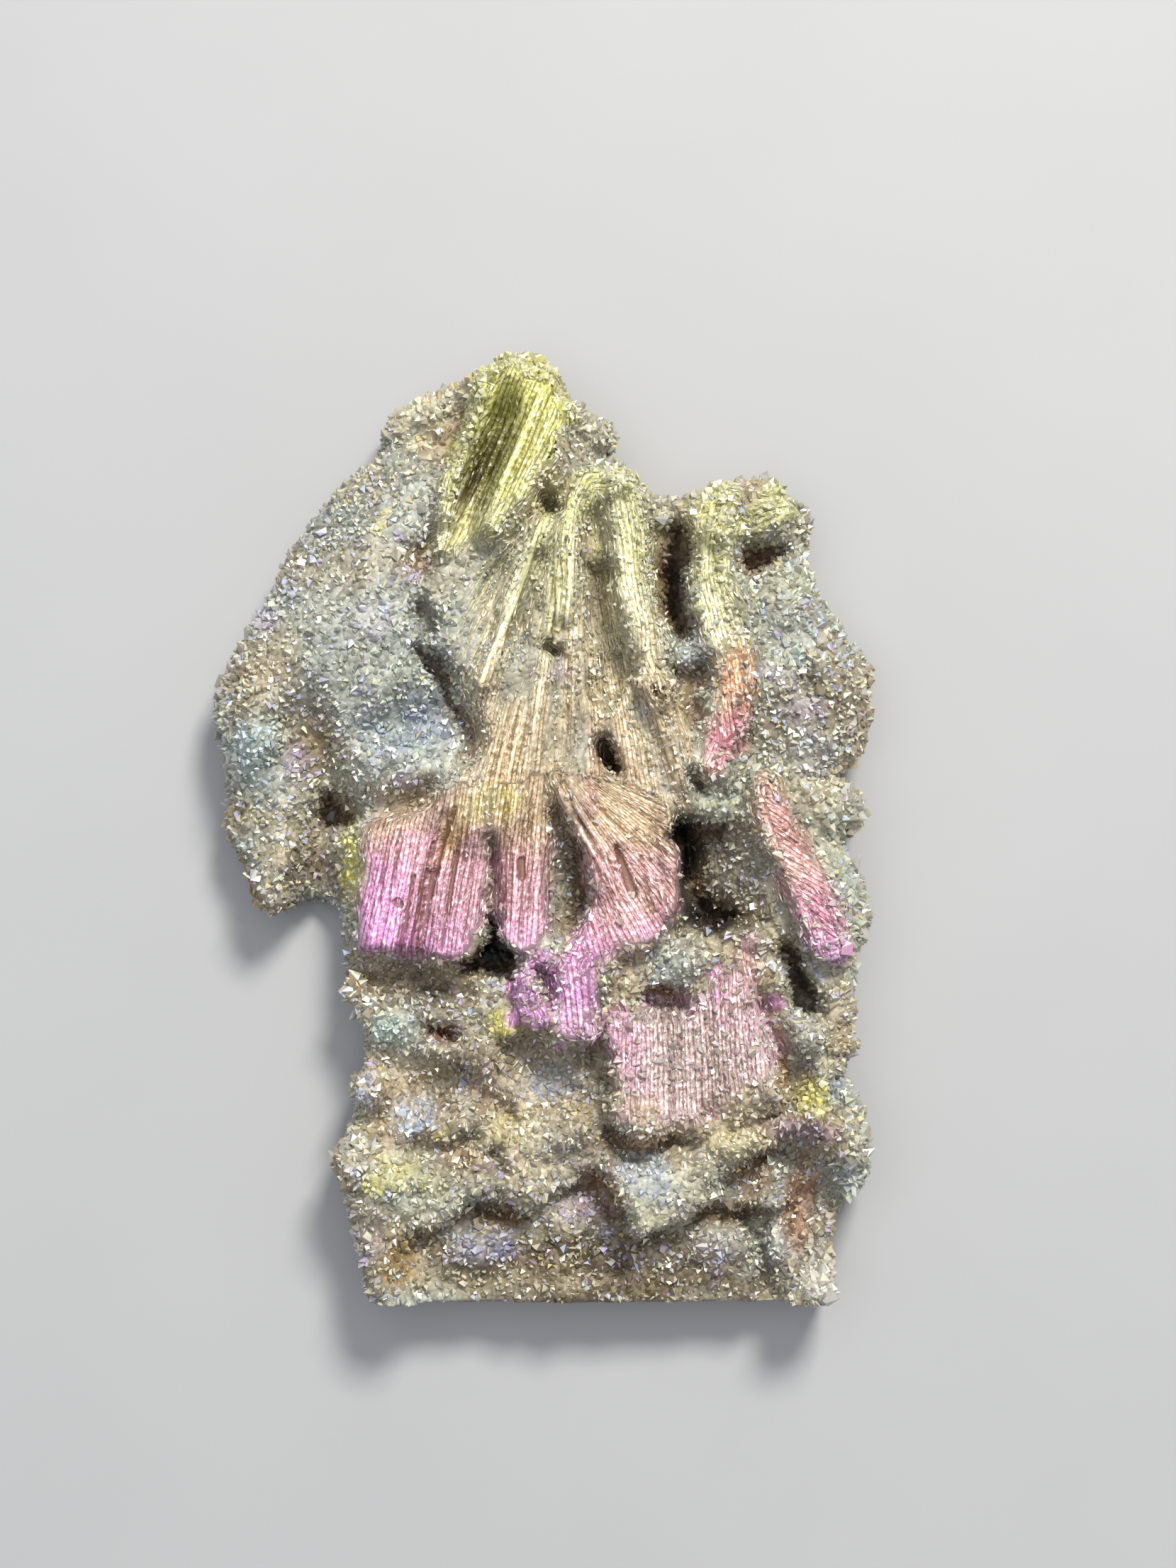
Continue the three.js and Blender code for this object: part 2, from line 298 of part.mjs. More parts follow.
// Smooth lumps from -1 to 1: the scattered numbers of the eight lattice points around, eased into each other.
function lumps(x, y, z) {
  const [i, j, k] = [x, y, z].map(Math.floor);
  const [u, v, w] = [ease(x - i), ease(y - j), ease(z - k)];
  const row = (b, c) => mix(scatter(i, j + b, k + c), scatter(i + 1, j + b, k + c), u);
  return 2 * mix(mix(row(0, 0), row(1, 0), v), mix(row(0, 1), row(1, 1), v), w) - 1;
}

// Rounded bumps packed together: 1 - 2 d^2, with d the distance from the nearest scattered centre.
function knobs(x, y, z) {
  const [i, j, k] = [x, y, z].map(Math.floor);
  let nearest = Infinity;
  for (let u = i - 1; u <= i + 1; u++)
    for (let v = j - 1; v <= j + 1; v++)
      for (let w = k - 1; w <= k + 1; w++) {
        const away = [u + scatter(u, v, w) - x, v + scatter(v, w, u) - y, w + scatter(w, u, v) - z];
        nearest = Math.min(nearest, away[0] ** 2 + away[1] ** 2 + away[2] ** 2);
      }
  return 1 - 2 * nearest;
}

// Distance from a point to a segment, less the segment's own half width there.
function segmentDistance(x, y, [ax, ay, aw = 0], [bx, by, bw = 0]) {
  const t = clamp01(((x - ax) * (bx - ax) + (y - ay) * (by - ay)) / ((bx - ax) ** 2 + (by - ay) ** 2));
  return Math.hypot(x - mix(ax, bx, t), y - mix(ay, by, t)) - mix(aw, bw, t);
}

// Signed distance to a line of such segments, negative within its width.
function lineDistance(line, x, y) {
  return Math.min(...line.slice(1).map((p, n) => segmentDistance(x, y, line[n], p)));
}

// Signed distance to a closed outline, negative inside.
function outlineDistance(outline, x, y) {
  let nearest = Infinity;
  let inside = false;
  outline.forEach((a, n) => {
    const b = outline[(n + 1) % outline.length];
    nearest = Math.min(nearest, segmentDistance(x, y, a, b));
    if (a[1] > y !== b[1] > y && x < a[0] + ((y - a[1]) * (b[0] - a[0])) / (b[1] - a[1])) inside = !inside;
  });
  return inside ? -nearest : nearest;
}

// How bare of quartz points the skin is: 1 on a plate or the crest of a rib, 0 off it.
function plateShare(x, y) {
  const plates = PLATES.map((plate) => ease(0.5 - outlineDistance(plate, x, y) / FADE));
  const ribs = RIBS.map(({ line }) => ease(0.8 - lineDistance(line, x, y)));
  return Math.max(...plates, ...ribs);
}

// Where the forms at a point are read: drawn to and fro by lumps of two sizes, so that no edge runs straight
// but a plate's.
function strayed(x, y, plate) {
  const loose = 1 - 0.8 * plate;
  const drawn = ({ pitch, reach }, slice) => loose * reach * lumps(x / pitch, y / pitch, slice);
  const across = drawn(WANDER, 3.3) + drawn(FINE_WANDER, 7.7);
  const along = drawn(WANDER, 11.1) + drawn(FINE_WANDER, 17.7);
  return [x + across, y + along];
}

// ---- The ground: the height of the front over the sawn back ----
function ground(x, y, toOutline) {
  let level = FLOOR_LEVEL;
  for (const [cx, cy, along, across, degrees, rise] of SWELLINGS) {
    const turn = THREE.MathUtils.degToRad(degrees);
    const u = ((x - cx) * Math.cos(turn) + (y - cy) * Math.sin(turn)) / along;
    const v = ((y - cy) * Math.cos(turn) - (x - cx) * Math.sin(turn)) / across;
    level += rise * Math.max(0, 1 - u * u - v * v) ** 1.5;
  }
  for (const step of TERRACES) {
    const share = ease(0.5 - outlineDistance(step.outline, x, y) / (2 * step.edge));
    level = mix(level, Math.max(level, step.level), share);
  }
  for (const step of STEPS) {
    const share = ease(0.5 - outlineDistance(step.outline, x, y) / (2 * step.edge));
    level = mix(level, level - FLOOR_LEVEL + step.level, share);
  }
  for (const { rise, flank, line } of [...RIBS, ...CRESTS]) {
    level += rise * ease(1 - lineDistance(line, x, y) / flank);
  }
  for (const { drop, wall, line } of HOLLOWS) {
    level -= drop * ease(1 - lineDistance(line, x, y) / wall);
  }
  // The shoulders roll over to the outline, furthest on the two lobes.
  const leftLobe = ease((-x - 12) / 10) * ease((y + 12) / 8);
  const rightLobe = ease((x - 23) / 8) * ease((y - 3) / 5);
  const over = (key) => SHOULDER[key] + LEFT_SHOULDER[key] * leftLobe + RIGHT_SHOULDER[key] * rightLobe;
  const rolled = clamp01(1 + toOutline / over("reach"));
  level -= over("drop") * (1 - Math.sqrt(1 - rolled ** 2));
  for (const { floor, edge, outline } of OPENINGS) {
    const share = ease(0.5 - outlineDistance(outline, x, y) / (2 * edge));
    level = mix(level, Math.min(level, floor(x, y)), share);
  }
  return level;
}

// Below zero inside the slab: under the ground, within the outline, and outside the caves.
function slabField(x, y, z, column) {
  // The lumps are packed on a lattice that is turned against the grid, and stand out most on the lower block.
  const [u, v] = [0.8 * x + 0.6 * y, 0.8 * y - 0.6 * x];
  const knobsOf = (pitch) => knobs(u / pitch, v / pitch, z / pitch);
  const lump = knobsOf(LUMP_PITCH) + 0.5 * knobsOf(FINE_LUMP_PITCH);
  const strength = mix(0.5, 1.15, ease((-12 - y) / 8)) * (1 - 0.9 * column.plate);
  const rough = -LUMP_RISE * lump * strength;
  const drawn = WALL_DRAW * (z / WALL_MIDDLE - 1) ** 2;
  const wall = column.toOutline + WALL_INSET + drawn - 0.35 * LUMP_RISE * lump;
  let field = roundMax(z - column.level + rough, wall, RIM_ROUNDING);
  for (const [a, b] of CAVES) {
    const t = clamp01(((x - a[0]) * (b[0] - a[0]) + (y - a[1]) * (b[1] - a[1])) /
      ((b[0] - a[0]) ** 2 + (b[1] - a[1]) ** 2));
    const away = Math.hypot(x - mix(a[0], b[0], t), y - mix(a[1], b[1], t), z - mix(a[2], b[2], t));
    field = roundMax(field, mix(a[3], b[3], t) - away - 0.4 * lump, CAVE_ROUNDING);
  }
  return field;
}

// ---- Skin: a closed net of faces where the field crosses zero ----
// One vertex stands in each grid cell that the surface cuts, at the mean of the cuts on the cell's edges, and
// each cut edge of the grid is closed by a face between the four cells around it.
function skin() {
  const low = new THREE.Vector3(-42, -62, -CUT_DEPTH);
  const high = new THREE.Vector3(42, 59, 25);
  const step = new THREE.Vector3(SKIN_PITCH, SKIN_PITCH, SKIN_PITCH_Z);
  const [nx, ny, nz] = high.clone().sub(low).divide(step).toArray().map((n) => Math.ceil(n) + 1);
  const at = (i, j, k) => (k * ny + j) * nx + i;
  const field = new Float32Array(nx * ny * nz);
  const plates = new Float32Array(nx * ny);
  for (let j = 0; j < ny; j++) {
    for (let i = 0; i < nx; i++) {
      const [x, y] = [low.x + i * step.x, low.y + j * step.y];
      const toOutline = outlineDistance(OUTLINE, x, y);
      const plate = plateShare(x, y);
      const column = { toOutline, plate, level: ground(...strayed(x, y, plate), toOutline) };
      plates[at(i, j, 0)] = plate;
      for (let k = 0; k < nz; k++) {
        const sealed = k === 0 || k === nz - 1;
        field[at(i, j, k)] = sealed ? 1 : slabField(x, y, low.z + k * step.z, column);
      }
    }
  }
  // Samples that touch only corner to corner would pinch the skin, so one of the four is filled.
  const offsets = [1, nx, nx * ny];
  for (let changed = true; changed; ) {
    changed = false;
    for (let k = 0; k < nz - 1; k++)
      for (let j = 0; j < ny - 1; j++)
        for (let i = 0; i < nx - 1; i++)
          for (const [u, v] of [[0, 1], [0, 2], [1, 2]]) {
            const corners = [0, offsets[u], offsets[u] + offsets[v], offsets[v]].map((o) => at(i, j, k) + o);
            const solid = corners.map((c) => field[c] < 0);
            if (solid[0] !== solid[2] || solid[1] !== solid[3] || solid[0] === solid[1]) continue;
            field[corners[solid[0] ? 1 : 0]] = -0.05;
            changed = true;
          }
  }
  const points = [];
  const cellPoint = new Map();
  const corner = [0, 1, 2, 3, 4, 5, 6, 7].map((c) => [c & 1, (c >> 1) & 1, c >> 2]);
  for (let k = 0; k < nz - 1; k++)
    for (let j = 0; j < ny - 1; j++)
      for (let i = 0; i < nx - 1; i++) {
        const sum = new THREE.Vector3();
        let cuts = 0;
        corner.forEach((a) => {
          for (const axis of [0, 1, 2]) {
            if (a[axis]) continue;
            const b = a.map((c, n) => (n === axis ? 1 : c));
            const fa = field[at(i + a[0], j + a[1], k + a[2])];
            const fb = field[at(i + b[0], j + b[1], k + b[2])];
            if (fa < 0 === fb < 0) continue;
            sum.add(new THREE.Vector3(...a).lerp(new THREE.Vector3(...b), fa / (fa - fb)));
            cuts++;
          }
        });
        if (!cuts) continue;
        cellPoint.set(at(i, j, k), points.length);
        const spot = sum.divideScalar(cuts).add(new THREE.Vector3(i, j, k)).multiply(step).add(low);
        points.push({ spot, bare: plates[at(i, j, 0)], odd: (i + j + k) % 2 });
      }
  const faces = [];
  const around = [[1, 2], [2, 0], [0, 1]];
  for (let k = 0; k < nz - 1; k++)
    for (let j = 1; j < ny - 1; j++)
      for (let i = 1; i < nx - 1; i++)
        for (const axis of [0, 1, 2]) {
          const here = field[at(i, j, k)] < 0;
          if (here === field[at(i, j, k) + offsets[axis]] < 0) continue;
          const [u, v] = around[axis].map((n) => offsets[n]);
          const cell = at(i, j, k);
          const four = [cell - u - v, cell - v, cell, cell - u].map((c) => cellPoint.get(c));
          if (!here) four.reverse();
          // Each face is split between its two low corners, so that every tip becomes a four-sided pyramid.
          if (points[four[0]].odd) four.push(four.shift());
          faces.push([four[0], four[1], four[2]], [four[0], four[2], four[3]]);
        }
  return { points, faces };
}

// The outward direction at each point of the skin, from the faces around it.
function directions({ points, faces }) {
  const out = points.map(() => new THREE.Vector3());
  const plane = new THREE.Triangle();
  const normal = new THREE.Vector3();
  for (const face of faces) {
    plane.set(...face.map((n) => points[n].spot));
    plane.getNormal(normal).multiplyScalar(plane.getArea());
    face.forEach((n) => out[n].add(normal));
  }
  return out.map((d) => d.normalize());
}

// ---- Solids ----
// A closed geometry as a manifold solid: shared corners merged, and faces shrunk to a line left out.
function solidOf(geometry) {
  geometry.deleteAttribute("normal");
  geometry.deleteAttribute("uv");
  const merged = mergeVertices(geometry, 1e-4);
  const corners = merged.index.array;
  const kept = [];
  for (let n = 0; n < corners.length; n += 3) {
    const [a, b, c] = corners.slice(n, n + 3);
    if (a !== b && b !== c && c !== a) kept.push(a, b, c);
  }
  return new wasm.Manifold(new wasm.Mesh({
    numProp: 3,
    vertProperties: new Float32Array(merged.attributes.position.array),
    triVerts: new Uint32Array(kept),
  }));
}

function geometryOf(solid) {
  const mesh = solid.getMesh();
  const geometry = new THREE.BufferGeometry();
  geometry.setAttribute("position", new THREE.BufferAttribute(mesh.vertProperties, 3));
  geometry.setIndex(new THREE.BufferAttribute(mesh.triVerts, 1));
  geometry.computeVertexNormals();
  return geometry;
}

// The skin with its quartz tips: every second point of the net is a tip, and the plates stay smooth.
function skinGeometry(net, out) {
  const positions = net.points.flatMap(({ spot, bare, odd }, n) => {
    const tip = odd * (0.35 + 0.65 * scatter(n, 3, 7)) * TIP_RISE * (1 - bare);
    const stray = [1, 2, 3].map((c) => TIP_STRAY * (1 - bare) * (scatter(n, c, 8) - 0.5));
    return spot.clone().add(new THREE.Vector3(...stray)).addScaledVector(out[n], tip).toArray();
  });
  const geometry = new THREE.BufferGeometry();
  geometry.setAttribute("position", new THREE.Float32BufferAttribute(positions, 3));
  geometry.setIndex(net.faces.flat());
  return geometry;
}

// One quartz point: a six-sided prism with a pyramid on it, rooted below the ground.
function quartzPoint(width, length, spot, direction, spin) {
  const half = width / 2;
  const profile = [[0, -width], [half, -width], [half, length - width], [0, length]];
  const geometry = new THREE.LatheGeometry(profile.map(([x, y]) => new THREE.Vector2(x, y)), 6);
  geometry.rotateY(spin);
  const turn = new THREE.Quaternion().setFromUnitVectors(new THREE.Vector3(0, 1, 0), direction);
  geometry.applyQuaternion(turn).translate(spot.x, spot.y, spot.z);
  return solidOf(geometry);
}

// A box between two corners, for the saw cuts.
function block(low, high) {
  const size = high.map((h, n) => h - low[n]);
  const geometry = new THREE.BoxGeometry(...size);
  geometry.translate(...high.map((h, n) => (h + low[n]) / 2));
  return solidOf(geometry);
}

const net = skin();
const out = directions(net);
let slab = solidOf(skinGeometry(net, out));

// Each larger point stands on the nearest spot of the skin and leans a little off its upright.
QUARTZ_POINTS.forEach(([x, y, width], n) => {
  const gap = ({ spot }) => Math.hypot(spot.x - x, spot.y - y) + 0.2 * Math.abs(spot.z - FLOOR_LEVEL);
  const root = net.points.reduce((best, point, m) => (gap(point) < gap(net.points[best]) ? m : best), 0);
  const lean = new THREE.Vector3(scatter(n, 2, 1) - 0.5, scatter(n, 2, 2) - 0.5, scatter(n, 2, 3));
  const direction = out[root].clone().addScaledVector(lean, 0.8).normalize();
  const spin = Math.PI * scatter(n, 4, 4);
  slab = slab.add(quartzPoint(width, 1.2 * width, net.points[root].spot, direction, spin));
});

// The saw leaves the back and the foot flat.
slab = slab.intersect(block([-60, FOOT_Y, 0], [60, 70, 40]));
const whole = slab.decompose().sort((a, b) => b.volume() - a.volume())[0];

const druse = new THREE.MeshStandardMaterial({
  color: 0xb3aa9c,
  roughness: 0.32,
  metalness: 0.15,
  flatShading: true,
});
const piece = new THREE.Mesh(geometryOf(whole), druse);
piece.name = "slab";

const group = new THREE.Group();
group.name = "sphalerite_slab";
group.add(piece);

export default group;
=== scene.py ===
"""Looks of the sphalerite slab: rock overgrown with quartz, its plates and fins tinted by a film of metal."""

import math

import bmesh
import bpy
import numpy as np
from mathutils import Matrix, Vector


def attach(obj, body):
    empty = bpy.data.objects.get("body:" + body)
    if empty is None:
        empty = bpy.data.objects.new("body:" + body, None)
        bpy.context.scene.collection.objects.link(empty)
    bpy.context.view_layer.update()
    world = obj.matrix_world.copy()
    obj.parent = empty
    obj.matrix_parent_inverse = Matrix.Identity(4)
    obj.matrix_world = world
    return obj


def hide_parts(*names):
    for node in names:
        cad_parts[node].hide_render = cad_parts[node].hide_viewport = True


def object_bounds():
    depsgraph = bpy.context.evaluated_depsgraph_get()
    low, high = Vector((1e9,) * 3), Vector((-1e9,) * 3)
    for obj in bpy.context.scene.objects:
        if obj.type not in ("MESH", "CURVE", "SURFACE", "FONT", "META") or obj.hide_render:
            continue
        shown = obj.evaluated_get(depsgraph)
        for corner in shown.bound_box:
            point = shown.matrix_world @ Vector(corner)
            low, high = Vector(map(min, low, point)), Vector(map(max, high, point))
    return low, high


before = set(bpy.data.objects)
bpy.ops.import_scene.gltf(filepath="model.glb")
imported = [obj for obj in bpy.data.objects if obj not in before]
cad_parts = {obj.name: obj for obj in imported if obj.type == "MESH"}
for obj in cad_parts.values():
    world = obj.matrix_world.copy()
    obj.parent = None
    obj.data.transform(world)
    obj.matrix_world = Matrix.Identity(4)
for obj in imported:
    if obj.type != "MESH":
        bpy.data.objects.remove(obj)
cad_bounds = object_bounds()

# ---- The skin of the slab ----
# The slab is one natural piece of rock, grown all over with quartz and sawn flat at its back and foot. Its
# forms stand up from a thick floor as terraces, swellings, ribs and crests, or are sunk in it as hollows,
# openings and caves. All sizes are in millimetres until a mesh is made.
MM = 0.001
FOOT_Y = -54.7
FLOOR_LEVEL = 12.6
SKIN_PITCH = 0.6
CAD_LOW, CAD_HIGH = (np.array(corner) / MM for corner in cad_bounds)

OUTLINE = [
    (-2.5, 55.2), (-0.4, 54.8), (1.9, 53.2), (3.2, 50.0), (5.6, 48.1), (8.1, 47.4), (8.9, 44.9),
    (7.6, 43.0), (11.2, 41.3), (11.7, 39.6), (13.0, 38.5), (18.5, 39.0), (20.0, 39.9), (23.0, 40.8),
    (27.5, 40.9), (28.7, 38.3), (30.6, 37.9), (31.8, 35.8), (30.6, 32.2), (32.4, 27.0), (35.0, 23.5),
    (35.5, 21.8), (37.0, 21.2), (38.5, 18.3), (38.4, 13.5), (37.2, 8.6), (34.8, 6.2), (37.2, 4.6),
    (37.8, 1.8), (36.4, -0.8), (35.0, -0.9), (35.4, -2.6), (37.3, -6.8), (38.3, -10.2), (37.8, -12.1),
    (35.8, -14.8), (36.6, -17.0), (36.1, -19.2), (36.6, -20.9), (35.6, -22.4), (36.8, -24.8),
    (35.4, -26.4), (35.2, -28.5), (37.5, -33.2), (37.9, -39.5), (35.4, -43.0), (34.0, -44.8),
    (33.5, -47.3), (33.9, -53.4), (33.4, -58.4), (-19.6, -58.4), (-20.1, -54.2), (-21.6, -47.5),
    (-22.7, -43.5), (-24.2, -39.0), (-24.1, -36.8), (-22.3, -34.8), (-21.3, -32.0), (-22.3, -30.9),
    (-22.1, -29.2), (-20.4, -27.5), (-20.8, -22.0), (-22.9, -19.2), (-22.8, -14.5), (-23.3, -10.7),
    (-26.5, -8.8), (-28.6, -8.6), (-29.8, -9.6), (-31.6, -9.8), (-33.2, -8.9), (-35.0, -4.2),
    (-37.0, -0.4), (-37.1, 1.6), (-36.6, 3.4), (-37.3, 9.0), (-38.4, 14.3), (-37.4, 17.4), (-35.8, 20.8),
    (-32.8, 25.4), (-29.5, 32.5), (-26.3, 36.5), (-22.4, 41.4), (-19.4, 43.2), (-18.7, 47.0),
    (-17.0, 48.7), (-13.3, 50.8), (-9.0, 52.2), (-8.0, 53.3), (-6.3, 53.4), (-5.0, 54.5),
]

# Raised ground, as the level that it stands at, how far its edge runs to either side, and its outline.
TERRACES = [
    # the fan of fins with the flat plates at its foot
    (16.4, 0.9, [
        (-6.5, 53.0), (1.5, 52.0), (3.2, 46.5), (2.6, 42.0), (8.0, 41.6), (12.6, 38.6), (13.2, 30.0),
        (14.0, 22.0), (15.0, 12.0), (17.4, 6.5), (15.2, 1.5), (15.8, -3.0), (15.6, -9.0), (13.5, -12.6),
        (9.0, -13.4), (6.4, -20.0), (5.8, -24.4), (0.6, -23.6), (-2.6, -20.6), (-3.0, -14.4),
        (-9.5, -14.8), (-13.5, -15.2), (-15.8, -15.6), (-20.9, -13.8), (-20.1, 1.0), (-12.4, 2.8),
        (-10.4, 6.2), (-8.2, 8.2), (-8.2, 12.2), (-10.2, 14.6), (-10.4, 19.6), (-14.2, 21.8),
        (-13.4, 30.0), (-11.6, 34.0), (-10.4, 40.0), (-9.0, 46.0)]),
    # the triangular plate over the lower block
    (16.0, 0.8, [
        (6.9, -20.8), (16.4, -21.2), (20.4, -17.2), (22.6, -14.6), (24.6, -19.4), (27.7, -27.4),
        (27.4, -31.0), (23.0, -33.4), (17.4, -34.9), (12.0, -35.2), (8.3, -34.0), (8.0, -30.0),
        (8.8, -26.0), (6.9, -24.6)]),
    # the tongue that points down over the foot
    (17.4, 0.9, [
        (7.8, -38.6), (12.0, -37.2), (17.6, -37.4), (20.0, -39.6), (19.8, -42.6), (16.0, -44.6),
        (12.6, -46.2), (11.0, -46.8), (10.2, -45.4), (10.0, -43.4), (8.4, -41.2)]),
]

# Lowered ground, in the same form.
STEPS = [
    # the apron along the sawn foot
    (8.8, 0.9, [
        (-14.5, -46.4), (-11.0, -45.6), (-7.6, -43.4), (-5.0, -43.6), (-0.5, -43.9), (0.6, -42.4),
        (3.0, -41.1), (6.4, -40.3), (9.2, -41.8), (10.3, -43.6), (10.4, -45.8), (11.3, -46.9),
        (12.8, -46.0), (16.0, -45.0), (19.6, -43.2), (23.0, -43.8), (28.4, -44.2), (28.6, -50.0),
        (28.0, -62.0), (-13.0, -62.0), (-15.5, -52.0)]),
    # the shelf at the upper left, under the crest
    (11.2, 1.0, [
        (-20.0, 43.6), (-16.0, 43.0), (-10.4, 42.6), (-8.8, 46.4), (-7.4, 50.6), (-8.4, 54.0),
        (-20.0, 54.0)]),
    # the knob beside the peak
    (11.6, 0.9, [(3.4, 51.0), (2.9, 46.0), (3.2, 43.4), (8.0, 42.9), (12.0, 44.0), (10.0, 51.0)]),
    # the left wall of the pink block
    (12.4, 1.1, [(-20.4, 0.6), (-20.6, -12.4), (-26.0, -12.4), (-26.0, 2.0), (-22.0, 2.0)]),
]

# Rounded swellings, as x, y, radius along, radius across, turn in degrees and rise.
SWELLINGS = [
    (-23, 23, 27, 13, 58, 4.2), (-32.5, 10.5, 7, 3.4, 86, 3.0), (-17.0, 7.6, 8, 3.8, -4, 2.6),
    (-16.6, 15.6, 6, 4.6, 30, 1.6), (-31.5, -4.5, 6, 4, 60, 1.6), (-19.2, 34.6, 4.5, 2.6, 60, 0.9),
    (-16.5, 47, 4, 3, 30, 0.8), (4.4, 47.0, 2.6, 2.0, 0, 1.3), (6.6, 45.2, 2.6, 2.2, 0, 1.6),
    (9.0, 40.9, 2.6, 2.0, 30, 0.9), (25.5, 38.0, 6.5, 3.4, 0, 1.8), (28.0, 27.0, 5.6, 5.4, 0, 2.0),
    (31.0, 14.5, 9.5, 8.4, 90, 2.8), (34.0, 18.0, 4.4, 3.4, 70, 1.3), (27.5, 18.5, 4.0, 3.2, 60, 1.0),
    (16.2, 20.4, 3.6, 3.2, 0, 3.4), (17.6, 3.6, 4.6, 2.6, 0, 1.8), (33.0, 3.0, 5.0, 3.2, 0, 1.8),
    (34.4, -7.5, 7.0, 3.4, 70, 1.6), (17.4, -15.0, 4.6, 3.2, 20, 2.2), (22.8, -12.4, 4.8, 1.9, -10, 1.6),
    (30.4, -23.2, 4.6, 3.2, 0, 2.4), (31.8, -29.6, 3.6, 3.2, 40, 2.0), (35.6, -36.0, 5.6, 2.6, 84, 1.4),
    (-17.2, -22.2, 4.4, 3.2, 10, 2.4), (-20.2, -29.8, 3.0, 3.0, 0, 1.8), (-15.4, -40.6, 6.5, 4.4, 10, 2.6),
    (-21.2, -38.0, 4.0, 3.2, 90, 2.0), (-10.8, -26.6, 3.0, 2.4, 40, 1.6),
    (-15.4, -33.6, 3.6, 2.0, 20, 1.6), (2.6, -34.6, 7.0, 3.2, 10, 2.4), (-1.8, -39.6, 4.4, 3.4, 0, 1.8),
    (4.6, -28.6, 2.4, 1.8, 0, 1.8), (-7.0, -26.0, 3.4, 3.2, 0, 2.2), (-4.2, -21.8, 2.6, 2.2, 0, 1.6),
    (-6.4, -40.8, 3.4, 2.6, 0, 2.2), (21.6, -36.0, 4.6, 2.8, 10, 2.4), (2.6, -46.0, 2.8, 3.6, 20, 1.6),
    (13.6, -49.2, 4.2, 3.0, 20, 1.6), (20.2, -48.0, 4.4, 4.0, 0, 1.8), (-7.0, -48.6, 5.6, 2.8, 0, 1.8),
    (3.0, -52.6, 8.0, 2.6, 0, 1.0), (27.2, -48.2, 2.8, 3.6, 0, 2.6), (31.4, -52.0, 3.4, 3.6, 0, 1.8),
    (-17.6, -48.6, 5.4, 2.6, 84, 1.6),
]

# Smooth ribs, as how far the crest stands up, how wide its flanks are, and points as x, y, half width.
RIBS = [
    # the fin at the peak: its thin left crest and its broad face
    (3.4, 1.6, [
        (-4.6, 53.4, 0.9), (-6.6, 49.0, 0.8), (-8.8, 44.0, 0.8), (-9.9, 39.0, 0.7), (-11.4, 32.4, 0.3)]),
    (4.4, 3.4, [
        (-1.2, 53.0, 1.2), (0.6, 48.0, 1.9), (-0.6, 43.4, 1.7), (-3.4, 38.6, 0.9), (-5.6, 34.6, 0.2)]),
    # thin ridges below it
    (2.4, 1.7, [
        (0.9, 36.0, 0.3), (-0.6, 32.0, 0.5), (-2.2, 28.0, 0.5), (-4.0, 23.6, 0.5), (-6.6, 17.0, 0.2)]),
    (1.5, 1.3, [(-2.4, 31.6, 0.2), (-3.9, 28.8, 0.3), (-5.4, 25.6, 0.1)]),
    # the arch and the ribs on its two sides
    (2.2, 1.6, [
        (9.0, 39.9, 0.7), (5.4, 39.9, 0.8), (4.2, 37.4, 0.8), (3.7, 33.6, 0.7), (3.3, 28.6, 0.6),
        (2.7, 24.6, 0.3)]),
    (2.8, 2.0, [
        (9.4, 38.6, 0.9), (10.4, 33.6, 1.2), (10.9, 28.6, 1.3), (12.0, 23.6, 1.2), (12.2, 19.6, 1.0),
        (13.6, 15.6, 0.6)]),
    (4.6, 2.6, [
        (20.6, 39.8, 0.6), (19.4, 35.0, 1.4), (19.2, 29.0, 1.6), (20.6, 23.4, 1.7), (22.2, 18.6, 1.8),
        (21.3, 12.4, 1.6), (19.4, 7.4, 0.8)]),
    (2.4, 1.8, [(19.8, 34.0, 0.6), (23.4, 35.2, 0.7), (27.6, 36.8, 0.6)]),
    # ribs that fan out over the plates
    (1.5, 2.2, [(1.9, 6.0, 0.4), (4.2, 2.0, 0.5), (6.2, -2.2, 0.5), (6.8, -6.2, 0.4)]),
    (1.1, 1.6, [(4.6, 3.8, 0.2), (7.0, 1.2, 0.4), (9.2, -1.2, 0.2)]),
    # the curled foot of the plates
    (1.6, 1.8, [(5.4, -12.6, 1.0), (3.2, -16.4, 1.2), (3.0, -20.4, 1.5), (3.6, -22.6, 1.6)]),
    (1.4, 1.4, [(0.6, -14.8, 0.5), (-1.8, -16.4, 0.5), (-2.3, -18.8, 0.5), (-0.8, -21.2, 0.5)]),
    # the bar beside the big hollow
    (4.6, 2.4, [
        (25.6, 4.8, 1.0), (27.0, 0.4, 1.3), (29.2, -4.4, 1.4), (31.6, -9.2, 1.5), (33.2, -13.2, 1.1)]),
]

